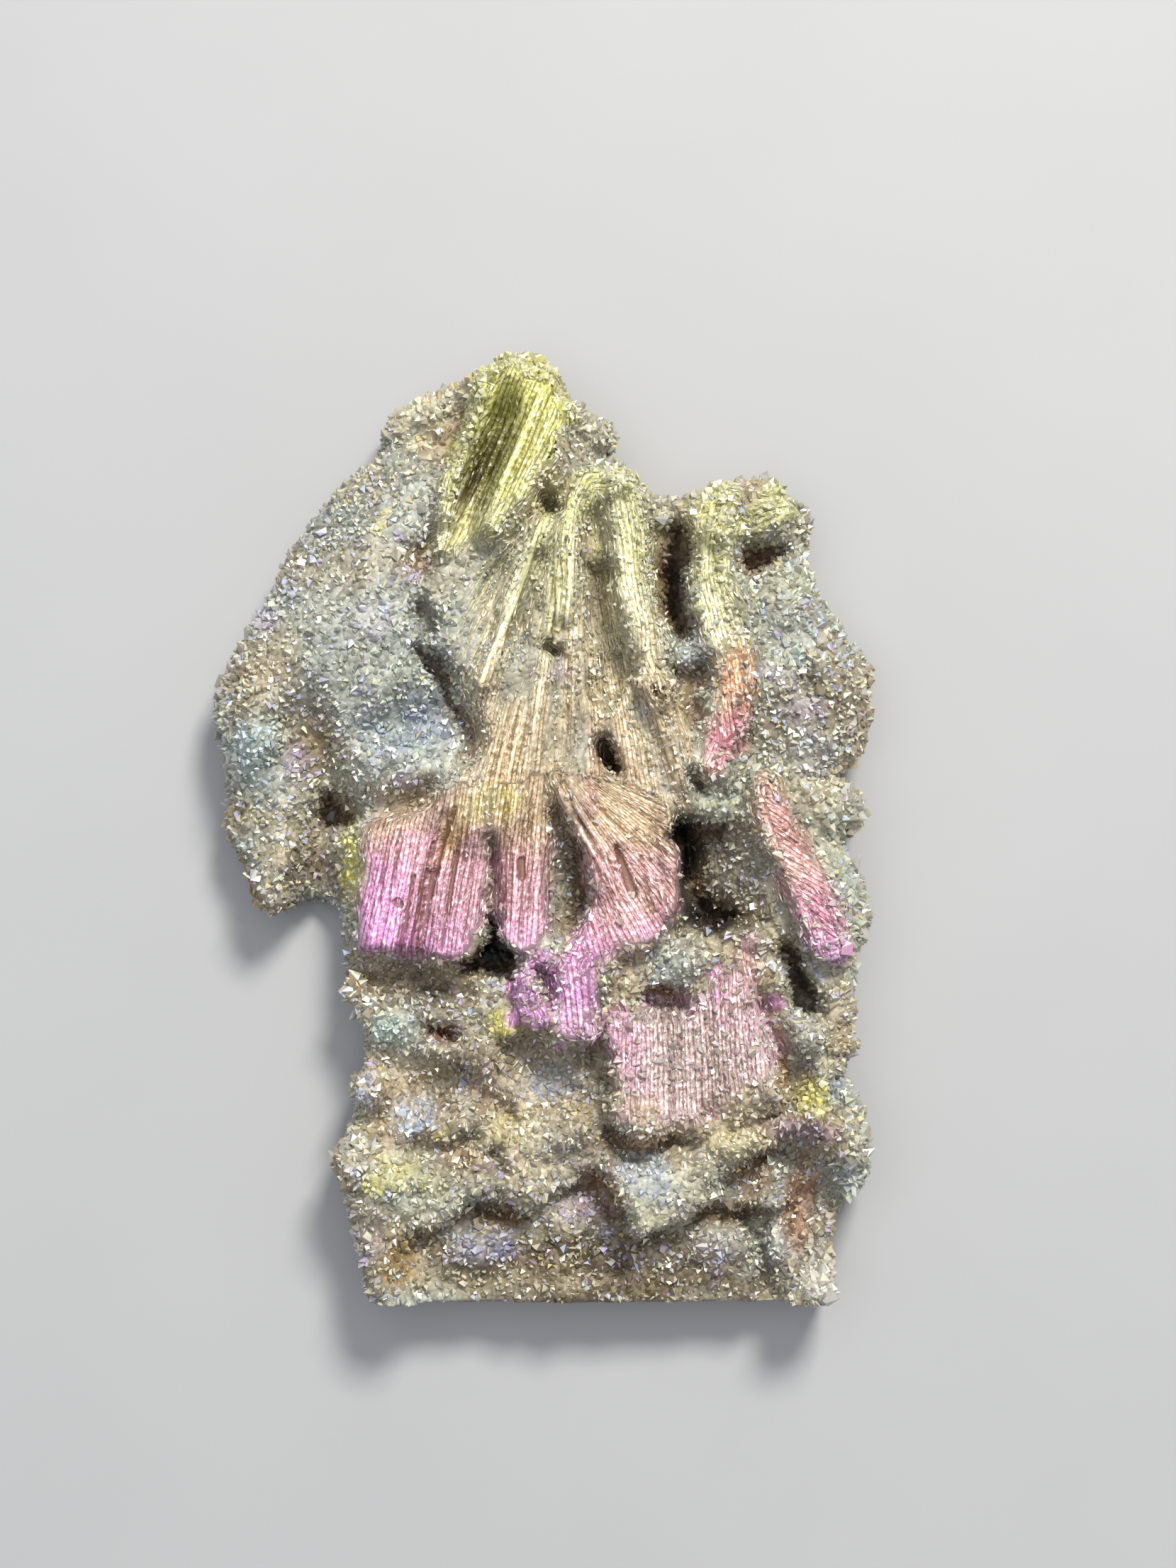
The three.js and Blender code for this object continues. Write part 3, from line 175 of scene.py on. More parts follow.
# Crests overgrown with quartz, in the same form.
CRESTS = [
    # the broad bundle that runs down to the pink block, and the rib beside it
    (2.4, 4.4, [(1.6, 32.0, 1.4), (-1.4, 22.0, 1.8), (-4.0, 12.6, 2.4), (-7.0, 4.0, 3.4)]),
    (1.6, 2.8, [(5.6, 22.0, 0.7), (5.2, 15.6, 1.0), (5.4, 9.6, 1.0), (3.6, 3.6, 0.7)]),
    (2.4, 2.0, [(13.6, 15.6, 0.6), (16.0, 10.4, 0.8), (17.0, 6.6, 0.7)]),
    (1.8, 1.8, [(14.2, 1.6, 0.5), (15.3, -2.6, 0.6), (15.6, -6.6, 0.6), (15.2, -10.0, 0.4)]),
    # on the lower block
    (1.6, 2.0, [(8.4, -25.6, 0.5), (8.5, -32.6, 0.7), (12.4, -34.3, 0.6), (16.6, -33.8, 0.4)]),
    (3.0, 2.6, [(25.6, -34.6, 0.5), (29.6, -33.4, 0.8), (33.0, -34.4, 0.7), (35.2, -37.2, 0.4)]),
]

# Hollows, as how far the floor is sunk, how wide the walls are, and points as x, y, half width.
HOLLOWS = [
    (2.6, 2.2, [(-3.8, 47.2, 0.2), (-5.6, 43.6, 0.9), (-7.6, 39.4, 0.9), (-9.4, 34.6, 0.3)]),
    (3.6, 4.0, [(-14.4, 44.4, 0.8), (-10.6, 44.8, 1.0), (-9.2, 47.6, 0.4)]),
    (5.0, 1.5, [(0.7, 38.6, 0.1), (1.3, 37.0, 0.4)]),
    (3.0, 3.0, [(-14.4, 31.6, 0.6), (-12.0, 33.6, 0.2)]),
    (2.0, 1.6, [(-4.9, 29.6, 0.3), (-6.2, 26.4, 0.3)]),
    (2.2, 1.8, [(-0.4, 30.6, 0.3), (-1.6, 26.0, 0.5), (-2.4, 22.0, 0.4)]),
    (1.6, 2.2, [(6.4, 35.6, 0.4), (6.8, 31.6, 0.6)]),
    (4.6, 2.4, [(7.1, 29.4, 0.2), (7.3, 24.6, 0.4), (8.9, 19.2, 1.0), (7.4, 16.6, 0.4)]),
    (5.0, 1.3, [(1.2, 20.5, 0.3), (1.8, 20.0, 0.2)]),
    (3.6, 1.8, [(-13.4, 24.6, 0.3), (-12.6, 23.2, 0.4)]),
    (3.2, 1.6, [
        (-13.6, 20.8, 0.2), (-12.2, 19.0, 0.7), (-10.7, 17.2, 1.0), (-10.1, 15.0, 0.3), (-8.6, 12.9, 0.9),
        (-8.0, 10.2, 0.6), (-8.5, 8.4, 0.2)]),
    (2.6, 1.8, [(19.0, 19.6, 0.1), (18.9, 16.8, 0.3), (18.2, 13.0, 0.1)]),
    (6.0, 2.0, [(23.6, 30.4, 0.4), (24.6, 31.4, 0.6), (26.8, 32.0, 0.1)]),
    (11.0, 1.5, [(6.9, 10.4, 0.2), (7.4, 8.6, 0.6), (8.1, 7.2, 0.2)]),
    (6.0, 1.5, [(17.6, 6.4, 0.1), (18.3, 5.9, 0.2)]),
    (3.8, 5.2, [(-27.4, 13.0, 0.3), (-26.4, 8.0, 0.9), (-24.4, 3.8, 0.5)]),
    (6.0, 1.8, [(-24.4, 2.9, 0.6), (-22.2, 2.2, 0.4)]),
    (2.0, 2.2, [(-20.8, 2.2, 0.2), (-16.4, 3.2, 0.3), (-12.2, 4.8, 0.2)]),
    (5.4, 4.0, [(-25.2, 0.4, 0.6), (-25.4, -4.6, 0.9), (-25.0, -9.0, 1.0)]),
    (4.6, 1.3, [(-6.2, -1.0, 0.0), (-5.8, -4.0, 0.2), (-5.9, -9.4, 0.5)]),
    (1.4, 1.1, [(-10.7, 1.8, 0.0), (-12.0, -3.2, 0.1)]),
    (1.6, 1.1, [(-12.4, -4.8, 0.1), (-13.9, -14.2, 0.2)]),
    (3.4, 1.8, [(-0.4, -16.6, 0.2), (0.4, -18.8, 0.6)]),
    (4.0, 3.4, [(-20.2, -16.6, 0.6), (-17.2, -17.0, 0.9), (-14.0, -17.0, 0.6), (-10.4, -18.4, 0.2)]),
    (4.6, 2.0, [(6.9, -25.4, 0.5), (7.2, -28.2, 0.5)]),
    (1.4, 2.2, [(7.2, -29.4, 0.2), (6.4, -32.0, 0.3), (7.6, -34.6, 0.2)]),
    (3.2, 3.0, [(-2.0, -25.0, 0.5), (1.0, -26.6, 0.6), (4.0, -26.8, 0.3)]),
    (2.6, 2.4, [(-3.4, -28.6, 0.4), (1.6, -29.8, 0.6)]),
    (2.6, 2.4, [(-19.6, -33.6, 0.2), (-12.6, -30.6, 0.3), (-8.4, -28.4, 0.2)]),
    (2.8, 2.2, [(-14.2, -36.6, 0.2), (-10.4, -38.0, 0.3), (-8.4, -36.0, 0.2)]),
    (2.8, 2.0, [(19.6, -41.4, 0.3), (23.6, -40.6, 0.5), (25.8, -37.4, 0.2)]),
    (2.2, 2.2, [(19.6, -32.6, 0.2), (24.6, -33.0, 0.3), (27.6, -31.4, 0.2)]),
    (4.5, 1.6, [(12.2, -18.4, 0.1), (14.4, -19.0, 0.4), (16.6, -19.9, 0.1)]),
    (4.0, 1.8, [(-12.6, -22.9, 0.1), (-10.8, -23.6, 0.3)]),
    (3.4, 1.8, [(-5.0, -38.0, 0.2), (-4.2, -39.0, 0.2)]),
    (3.2, 2.6, [(-5.4, -31.4, 0.5), (-4.4, -32.6, 0.4)]),
    (2.6, 1.7, [(8.2, -34.9, 0.2), (10.4, -35.7, 0.3), (14.6, -35.3, 0.4), (16.2, -33.8, 0.3)]),
    (5.6, 4.4, [(29.0, -36.8, 0.4), (30.2, -40.4, 1.0), (30.2, -44.4, 1.0), (30.6, -48.4, 0.4)]),
    (3.2, 1.6, [(33.9, -29.4, 0.1), (34.5, -33.2, 0.2)]),
    (3.6, 2.0, [(24.5, -44.6, 0.2), (24.7, -48.4, 0.1), (26.6, -52.6, 0.2)]),
    (2.0, 1.5, [(30.3, 19.6, 0.1), (30.8, 17.4, 0.1)]),
    (3.6, 3.0, [(25.4, -20.6, 0.2), (28.6, -26.6, 0.4), (29.4, -30.4, 0.3)]),
    (1.2, 3.4, [(-19.4, 11.4, 0.1), (-16.0, 11.8, 0.3), (-12.6, 13.0, 0.8)]),
    (3.0, 3.0, [(-16.4, -27.6, 0.2), (-13.6, -28.8, 0.4), (-10.6, -27.4, 0.2)]),
    (2.0, 1.8, [(4.6, -42.2, 0.2), (7.0, -42.0, 0.5), (9.2, -44.2, 0.3)]),
    (2.0, 1.6, [(-7.6, -44.2, 0.2), (-5.0, -44.6, 0.4), (-3.2, -44.6, 0.2)]),
    (2.0, 1.6, [(17.6, -44.4, 0.2), (20.4, -43.8, 0.3), (23.6, -44.6, 0.2)]),
]

# Deep openings, as the level of the floor, how far the edge runs to either side, and the outline.
OPENINGS = [
    # the tall slot between two fins, whose floor falls to the right
    (lambda x, y: 13.0 - 2.2 * (x - 12.6), 0.9, [
        (12.8, 34.8), (16.6, 35.2), (17.4, 31.0), (17.4, 24.6), (14.2, 22.9), (13.4, 26.0), (12.6, 30.0)]),
    # the lens between the plates
    (lambda x, y: 14.2 - 1.3 * x, 0.7, [
        (0.3, 1.8), (1.5, 3.0), (2.6, 1.8), (4.3, -2.4), (5.4, -5.2), (5.5, -8.0), (4.4, -10.4),
        (2.1, -11.9), (0.9, -11.2), (0.5, -6.0)]),
    # the big hollow, whose floor climbs to the bar on its right
    (lambda x, y: 1.6 + 1.3 * (x - 17) + 0.3 * (y + 6), 0.8, [
        (14.4, -0.8), (15.4, 0.9), (17.6, 0.5), (20.2, 0.0), (22.4, 1.2), (24.2, 0.6), (26.6, -4.6),
        (29.2, -9.8), (29.6, -13.6), (27.2, -13.8), (25.4, -11.2), (21.2, -11.2), (18.1, -12.0),
        (17.5, -9.6), (16.7, -7.0), (16.5, -3.6), (15.4, -1.8)]),
    # the trench that runs on from it
    (lambda x, y: 4.0, 1.2, [
        (27.0, -13.4), (28.8, -13.6), (30.4, -17.4), (32.4, -19.8), (31.8, -21.2), (29.2, -20.2),
        (27.8, -17.0)]),
    # the deep hole below the plates
    (lambda x, y: 1.4, 0.5, [
        (-6.4, -8.9), (-5.9, -10.6), (-4.5, -12.8), (-3.8, -14.3), (-4.1, -16.5), (-7.0, -16.5),
        (-9.2, -16.5), (-9.7, -14.5), (-7.9, -13.9), (-7.1, -12.0)]),
]

# Caves that run in under the ground beside them: two ends as x, y, z, radius.
CAVES = [
    [(16.4, 32.0, 7.0, 2.4), (17.0, 25.6, 6.6, 2.8)],
    [(16.0, 0.6, 7.4, 2.6), (20.6, 0.6, 7.0, 2.6)],
    [(16.6, -5.4, 6.4, 2.6), (17.6, -10.4, 6.0, 3.0)],
    [(20.4, -11.8, 6.6, 2.6), (25.0, -11.9, 7.0, 2.4)],
    [(29.0, -16.0, 6.6, 2.0), (30.6, -19.8, 6.2, 2.2)],
    [(4.9, -3.8, 10.6, 1.4), (5.1, -8.6, 10.4, 1.6)],
    [(5.4, -42.2, 9.6, 1.0), (9.4, -43.4, 9.8, 1.7)],
    [(17.4, -44.4, 10.2, 1.2), (26.6, -44.0, 9.8, 1.6)],
    [(-7.4, -43.6, 10.0, 1.2), (-1.0, -44.2, 10.0, 1.3)],
    [(-24.4, 1.8, 9.0, 1.8), (-24.6, -7.0, 8.0, 1.9)],
    [(13.0, -18.6, 10.8, 0.9), (15.6, -19.6, 10.8, 0.9)],
]

# Flat plates with lines along them. They are smoother than the druse, and bear less quartz.
PLATES = [
    [(-19.8, 0.7), (-14.4, 1.2), (-12.0, 3.6), (-6.8, 6.0), (-6.6, -8.6), (-8.4, -11.6), (-9.2, -14.2),
     (-12.0, -13.6), (-14.6, -15.0), (-17.4, -13.6), (-20.8, -13.4)],
    [(-5.2, 6.0), (0.4, 6.0), (0.3, -10.0), (-0.8, -12.6), (-2.2, -13.4), (-3.8, -12.0), (-5.0, -8.6)],
    [(2.4, 6.0), (8.6, 5.6), (13.6, 3.0), (15.0, -3.4), (14.8, -9.0), (12.6, -12.2), (8.6, -12.6),
     (4.8, -15.0), (5.4, -23.0), (1.4, -23.0), (1.6, -16.0), (4.4, -11.8), (6.4, -7.0), (5.4, -3.0)],
    [(6.9, -21.2), (17.4, -20.6), (20.6, -17.0), (23.6, -12.8), (24.8, -16.6), (27.2, -26.4),
     (22.8, -30.0), (16.4, -32.4), (9.4, -31.6), (8.8, -26.0), (7.4, -24.8)],
    [(24.4, 4.6), (27.2, 4.2), (31.6, -4.6), (34.6, -12.6), (32.4, -13.2), (27.6, -5.4)],
    [(-5.6, 52.6), (1.8, 51.0), (2.6, 46.0), (-2.0, 38.0), (-11.2, 31.4), (-9.6, 40.0)],
    [(0.6, 32.4), (4.4, 32.0), (4.6, 22.0), (0.8, 22.4)],
    [(-5.8, 13.6), (-1.8, 14.4), (-1.6, 5.0), (-8.6, 4.6)],
    [(20.4, 22.0), (24.0, 20.0), (23.0, 11.0), (19.4, 8.6)],
]

# The point that the lines on each plate fan out from.
PLATE_FANS = [
    (25.0, 200.0), (10.0, 120.0), (0.5, 9.0), (12.0, 120.0), (-70.0, 60.0), (90.0, 250.0), (4.0, 60.0),
    (4.0, 45.0), (12.0, 90.0),
]

# The great fan, whose lines run down from the ribs to the plates under a cover of small quartz: the point
# that they fan out from, a point in its middle, and its field.
FAN_APEX = (4.0, 45.0)
FAN_CENTRE = (0, 10)
FAN_FIELD = [
    (-6.0, 33.0), (0.6, 40.4), (8.6, 41.2), (13.0, 38.6), (13.4, 30.0), (14.4, 20.0), (17.6, 9.0),
    (16.4, 2.4), (8.0, 2.0), (1.4, 2.4), (-5.0, 0.6), (-13.0, 1.0), (-9.4, 8.0), (-8.4, 13.0),
    (-9.6, 20.0), (-8.0, 27.0),
]

# Single lines on the plates and in the fan: how far each rises or is sunk, and points as x, y, half width.
LONE_LINES = [
    (-0.8, [(-9.8, 2.6, 0.1), (-11.1, -0.8, 0.22), (-12.7, -7.0, 0.28), (-14.0, -14.4, 0.28)]),
    (-0.5, [(-8.8, 1.5, 0.05), (-10.0, -5.0, 0.12), (-11.4, -13.5, 0.14)]),
    (-0.5, [(-12.2, -1.4, 0.05), (-14.9, -14.6, 0.16)]),
    (-0.45, [(-7.6, -2.0, 0.05), (-8.9, -12.5, 0.14)]),
    (-0.4, [(-9.6, -2.5, 0.05), (-10.6, -9.5, 0.1)]),
    (-0.6, [(-14.4, -5.2, 0.05), (-15.4, -10.0, 0.16), (-16.2, -14.4, 0.16)]),
    (-0.3, [(-8.0, 3.5, 0.1), (-8.8, -3.5, 0.1)]),
    (-0.4, [(-17.6, -1.0, 0.05), (-18.4, -8.0, 0.1)]),
    (-0.4, [(-16.2, 0.2, 0.05), (-16.8, -6.4, 0.1)]),
    (0.3, [(-10.6, -1.0, 0.1), (-12.0, -7.0, 0.1), (-13.3, -13.0, 0.1)]),
    (0.25, [(-13.4, -1.5, 0.1), (-14.9, -9.0, 0.1)]),
    (0.25, [(-11.4, 3.0, 0.1), (-13.6, -4.0, 0.1)]),
    (-0.8, [(-16.5, -8.1, 0.3), (-16.1, -8.4, 0.3)]),
    (-0.45, [(-3.9, 3.0, 0.1), (-4.3, -8.0, 0.12)]),
    (-0.4, [(-3.3, -1.0, 0.05), (-3.6, -10.0, 0.1)]),
    (-0.4, [(-1.9, 1.0, 0.05), (-2.4, -11.5, 0.1)]),
    (-0.45, [(-1.0, 3.5, 0.1), (-1.5, -9.0, 0.12)]),
    (-0.9, [(-2.3, -3.4, 0.3), (-2.2, -5.2, 0.35)]),
    (0.25, [(-2.8, 4.0, 0.1), (-3.1, -10.0, 0.1)]),
    (0.6, [(2.4, 4.4, 0.15), (5.9, -2.6, 0.25)]),
    (0.55, [(3.6, 3.2, 0.15), (8.2, -3.2, 0.2)]),
    (-0.6, [(3.0, 3.6, 0.12), (7.0, -3.2, 0.15)]),
    (-0.8, [(8.6, -1.8, 0.15), (10.4, -7.2, 0.4)]),
    (-0.5, [(7.6, -2.4, 0.1), (9.2, -8.6, 0.14)]),
    (-0.45, [(11.4, -3.0, 0.1), (12.6, -9.4, 0.14)]),
    (-0.45, [(5.0, -1.6, 0.1), (7.4, -6.6, 0.14)]),
    (0.3, [(5.0, 3.8, 0.1), (11.0, -2.6, 0.12)]),
    (-0.3, [(5.8, 3.4, 0.1), (12.4, -2.2, 0.12)]),
    (-0.3, [(7.2, -5.0, 0.1), (8.4, -11.0, 0.12)]),
    (0.3, [(7.9, -4.0, 0.1), (9.6, -11.0, 0.12)]),
    (-0.4, [(-2.2, 14.5, 0.12), (-4.6, 6.0, 0.15)]),
    (-0.4, [(-3.2, 14.2, 0.12), (-5.9, 5.6, 0.15)]),
    (-0.35, [(-1.3, 13.6, 0.1), (-3.2, 6.0, 0.12)]),
    (0.4, [(-2.7, 14.6, 0.12), (-5.2, 5.6, 0.12)]),
    (0.35, [(-1.8, 14.0, 0.12), (-3.9, 5.6, 0.12)]),
    (0.3, [(-0.6, 12.0, 0.1), (-1.9, 5.0, 0.1)]),
    (0.5, [(0.7, 35.6, 0.15), (-2.4, 27.5, 0.2), (-4.4, 22.5, 0.2), (-6.7, 16.6, 0.12)]),
    (0.4, [(-2.5, 31.4, 0.1), (-5.2, 25.6, 0.15), (-6.6, 21.6, 0.1)]),
    (-0.35, [(0.1, 34.0, 0.1), (-1.8, 27.0, 0.25), (-3.6, 22.0, 0.15)]),
    (-0.3, [(1.2, 32.0, 0.1), (1.4, 22.0, 0.1)]),
    (0.3, [(1.7, 32.0, 0.1), (2.0, 21.0, 0.1)]),
    (-0.3, [(2.2, 31.0, 0.1), (2.6, 21.0, 0.1)]),
    (0.3, [(3.5, 33.0, 0.15), (3.1, 24.0, 0.12)]),
    (0.35, [(4.6, 20.0, 0.12), (5.2, 11.0, 0.15), (3.4, 5.0, 0.1)]),
    (-0.3, [(0.6, 16.0, 0.1), (0.2, 7.0, 0.12)]),
    (0.3, [(-0.2, 17.0, 0.1), (-0.9, 7.0, 0.12)]),
    (-0.4, [(-4.4, 46.6, 0.2), (-8.8, 37.4, 0.3)]),
    (-0.35, [(-3.0, 46.8, 0.15), (-7.4, 37.4, 0.2)]),
    (0.4, [(-3.7, 46.8, 0.12), (-8.1, 37.0, 0.12)]),
    (0.4, [(-1.6, 49.0, 0.12), (-6.2, 38.6, 0.12)]),
    (-0.3, [(-0.8, 48.8, 0.1), (-5.2, 39.0, 0.12)]),
    (0.4, [(0.4, 50.0, 0.12), (-4.4, 39.2, 0.15)]),
    (-0.3, [(1.4, 49.6, 0.1), (-3.2, 39.4, 0.12)]),
    (0.35, [(2.2, 48.8, 0.12), (-1.6, 40.0, 0.12)]),
]


def ease(t):
    """3 t^2 - 2 t^3 for t from 0 to 1, and flat outside."""
    t = np.clip(t, 0, 1)
    return t * t * (3 - 2 * t)


def mix(a, b, t):
    """a + (b - a) t."""
    return a + (b - a) * t


def round_max(a, b, r):
    """The larger of a and b, with the corner between them rounded over the width r."""
    return np.maximum(a, b) + np.maximum(r - np.abs(a - b), 0) ** 2 / (4 * r)


def scatter(i, j, k):
    """A repeatable number from 0 to 1 for each lattice point: the fraction of a large multiple of a sine."""
    s = np.sin(i * 127.1 + j * 311.7 + k * 74.7) * 43758.5453
    return s - np.floor(s)


def lumps(x, y, z):
    """Smooth lumps from -1 to 1: the scattered numbers of the eight lattice points around, eased together."""
    i, j, k = np.floor(x), np.floor(y), np.floor(z)
    u, v, w = ease(x - i), ease(y - j), ease(z - k)

    def row(b, c):
        return mix(scatter(i, j + b, k + c), scatter(i + 1, j + b, k + c), u)

    return 2 * mix(mix(row(0, 0), row(1, 0), v), mix(row(0, 1), row(1, 1), v), w) - 1


def knobs(x, y, z):
    """Rounded bumps packed together: 1 - 2 d^2, with d the distance to the nearest scattered centre."""
    i, j, k = np.floor(x), np.floor(y), np.floor(z)
    nearest = np.full(np.broadcast(x, y, z).shape, 9.0)
    for a in (-1, 0, 1):
        for b in (-1, 0, 1):
            for c in (-1, 0, 1):
                u, v, w = i + a, j + b, k + c
                away_x = u + scatter(u, v, w) - x
                away_y = v + scatter(v, w, u) - y
                away_z = w + scatter(w, u, v) - z
                nearest = np.minimum(nearest, away_x**2 + away_y**2 + away_z**2)
    return 1 - 2 * nearest


def oval(x, y, shape):
    """Along and across an oval given as x, y, radius along, radius across, turn: each 1 long at its edge."""
    centre_x, centre_y, along, across, degrees = shape
    turn = math.radians(degrees)
    u = ((x - centre_x) * math.cos(turn) + (y - centre_y) * math.sin(turn)) / along
    v = ((y - centre_y) * math.cos(turn) - (x - centre_x) * math.sin(turn)) / across
    return u, v


def along_segment(x, y, a, b):
    """The share of the way from a to b at which the point is nearest, from 0 to 1."""
    run_x, run_y = b[0] - a[0], b[1] - a[1]
    return np.clip(((x - a[0]) * run_x + (y - a[1]) * run_y) / (run_x**2 + run_y**2), 0, 1)


def segment_distance(x, y, a, b):
    """Distance from a point to a segment, less the segment's own half width there."""
    t = along_segment(x, y, a, b)
    width = mix(a[2], b[2], t) if len(a) > 2 else 0
    return np.hypot(x - mix(a[0], b[0], t), y - mix(a[1], b[1], t)) - width


def line_distance(line, x, y):
    """Signed distance to a line of such segments, negative within its width."""
    return np.min([segment_distance(x, y, a, b) for a, b in zip(line, line[1:])], axis=0)


def outline_distance(outline, x, y):
    """Signed distance to a closed outline, negative inside it. A point is inside where a ray from it to the
    right crosses an odd number of edges."""
    nearest = np.full(np.broadcast(x, y).shape, np.inf)
    inside = np.zeros(nearest.shape, bool)
    for a, b in zip(outline, outline[1:] + outline[:1]):
        nearest = np.minimum(nearest, segment_distance(x, y, a, b))
        if a[1] != b[1]:
            cross_x = a[0] + (y - a[1]) * (b[0] - a[0]) / (b[1] - a[1])
            inside ^= ((a[1] > y) != (b[1] > y)) & (x < cross_x)
    return np.where(inside, -nearest, nearest)


def within(outline, edge, x, y):
    """1 inside an outline and 0 outside it, eased from `edge` before it to `edge` past it."""
    return ease(0.5 - outline_distance(outline, x, y) / (2 * edge))


# How far the edges of the plates, the ribs and the fan's field run out.
PLATE_EDGE = 0.6
RIB_EDGE = 0.8
FAN_EDGE = 1.5


def plate_shares(x, y):
    """How far a point lies on each plate, and then on each rib: 1 on it, falling to 0 across its edge."""
    plates = [within(plate, PLATE_EDGE, x, y) for plate in PLATES]
    ribs = [ease(RIB_EDGE - line_distance(line, x, y)) for _, _, line in RIBS]
    return plates + ribs


def fan_share(x, y):
    """1 in the field of the great fan, falling to 0 across its edge."""
    return within(FAN_FIELD, FAN_EDGE, x, y)


# The lumps that draw the forms to and fro: size, reach, and the layers of lumps for x and for y.
STRAYS = [(5.5, 1.1, 3.3, 11.1), (2.1, 0.5, 7.7, 17.7)]
PLATE_HOLD = 0.8


def strayed(x, y, plate):
    """Where the forms at a point are read: drawn to and fro, so that no edge but a plate's runs straight."""
    loose = 1 - PLATE_HOLD * plate
    dx = sum(reach * lumps(x / size, y / size, layer) for size, reach, layer, _ in STRAYS)
    dy = sum(reach * lumps(x / size, y / size, layer) for size, reach, _, layer in STRAYS)
    return x + loose * dx, y + loose * dy


# The rounding along the outline: its width and drop, and what the lobes at left and right add to them.
SHOULDER_WIDTH, SHOULDER_DROP = 4, 3.4
LEFT_WIDTH, LEFT_DROP = 9, 3.6
RIGHT_WIDTH, RIGHT_DROP = 5, 2.4


def ground(x, y, to_outline):
    """The height of the front: the floor, plus the swellings' rise (1 - r^2)^1.5, raised or lowered inside
    each outline, plus or minus an eased slope beside each line, rolled over at the slab's own outline by a
    quarter circle, and sunk in the openings."""
    level = np.full(x.shape, FLOOR_LEVEL)
    for *shape, rise in SWELLINGS:
        u, v = oval(x, y, shape)
        level += rise * np.maximum(0, 1 - u * u - v * v) ** 1.5
    for raised, edge, outline in TERRACES:
        level = mix(level, np.maximum(level, raised), within(outline, edge, x, y))
    for lowered, edge, outline in STEPS:
        level = mix(level, level - FLOOR_LEVEL + lowered, within(outline, edge, x, y))
    for rise, flank, line in RIBS + CRESTS:
        level += rise * ease(1 - line_distance(line, x, y) / flank)
    for drop, wall, line in HOLLOWS:
        level -= drop * ease(1 - line_distance(line, x, y) / wall)
    left_lobe = ease((-x - 12) / 10) * ease((y + 12) / 8)
    right_lobe = ease((x - 23) / 8) * ease((y - 3) / 5)
    width = SHOULDER_WIDTH + LEFT_WIDTH * left_lobe + RIGHT_WIDTH * right_lobe
    drop = SHOULDER_DROP + LEFT_DROP * left_lobe + RIGHT_DROP * right_lobe
    level -= drop * (1 - np.sqrt(1 - np.clip(1 + to_outline / width, 0, 1) ** 2))
    for floor, edge, outline in OPENINGS:
        level = mix(level, np.minimum(level, floor(x, y)), within(outline, edge, x, y))
    return level


# The knobs that the quartz grew in: their pitches, how far they stand up, and how much of that on the upper
# part and on the lower block, on a plate, on the wall and in a cave.
LUMP_PITCH, SMALL_LUMP_PITCH = 5.2, 2.4
LUMP_RISE = 0.9
LUMP_STRENGTH, LOW_LUMP_STRENGTH = 0.5, 1.15
PLATE_CALM = 0.9
WALL_LUMPS = 0.35
CAVE_LUMPS = 0.4
# The wall stands 0.6 mm inside the outline at half the slab's height, and 0.9 mm more at its back and front.
WALL_INSET = 0.6
WALL_CURVE = 0.9
HALF_HEIGHT = 9
WALL_ROUND = 1.6
CAVE_ROUND = 0.8


def slab_field(x, y, z, level, to_outline, plate, lump):
    """Below zero inside the slab: the rounded maximum of the height over the ground, the distance past the
    outline and the depth into each cave, each made uneven by the lumps, and the two saw cuts."""
    strength = mix(LUMP_STRENGTH, LOW_LUMP_STRENGTH, ease((-12 - y) / 8)) * (1 - PLATE_CALM * plate)
    wall = to_outline + WALL_INSET + WALL_CURVE * ((z - HALF_HEIGHT) / HALF_HEIGHT) ** 2
    wall = wall - WALL_LUMPS * LUMP_RISE * lump
    field = round_max(z - level - LUMP_RISE * lump * strength, wall, WALL_ROUND)
    for a, b in CAVES:
        t = along_segment(x, y, a, b)
        centre_x, centre_y, centre_z, radius = (mix(a[n], b[n], t) for n in range(4))
        away = np.sqrt((x - centre_x) ** 2 + (y - centre_y) ** 2 + (z - centre_z) ** 2)
        field = round_max(field, radius - away - CAVE_LUMPS * lump, CAVE_ROUND)
    return np.maximum(field, np.maximum(-z, FOOT_Y - y))


def druse_lumps(x, y, z):
    """Large knobs, and small ones half as strong, on a lattice turned against the grid."""
    u, v = 0.8 * x + 0.6 * y, 0.8 * y - 0.6 * x
    large, small = (knobs(u / pitch, v / pitch, z / pitch) for pitch in (LUMP_PITCH, SMALL_LUMP_PITCH))
    return large + 0.5 * small


def shifted(array, axes, steps):
    """The array less its last sample along each of the axes, moved one sample on where the step is 1."""
    part = [slice(None)] * 3
    for axis, step in zip(axes, steps):
        part[axis] = slice(1, None) if step else slice(0, -1)
    return array[tuple(part)]


JUST_SOLID = -0.05


def unpinched(field):
    """The field with no two solid samples that touch only corner to corner across a square of the grid."""
    while True:
        pinched = 0
        for axes in ((0, 1), (0, 2), (1, 2)):
            square = [shifted(field, axes, steps) < 0 for steps in ((0, 0), (1, 0), (1, 1), (0, 1))]
            loose = (square[0] == square[2]) & (square[1] == square[3]) & (square[0] != square[1])
            pinched += np.count_nonzero(loose)
            for corner, steps in ((0, (1, 0)), (1, (0, 0))):
                target = shifted(field, axes, steps)
                target[loose & square[corner] & (target >= 0)] = JUST_SOLID
        if not pinched:
            return field


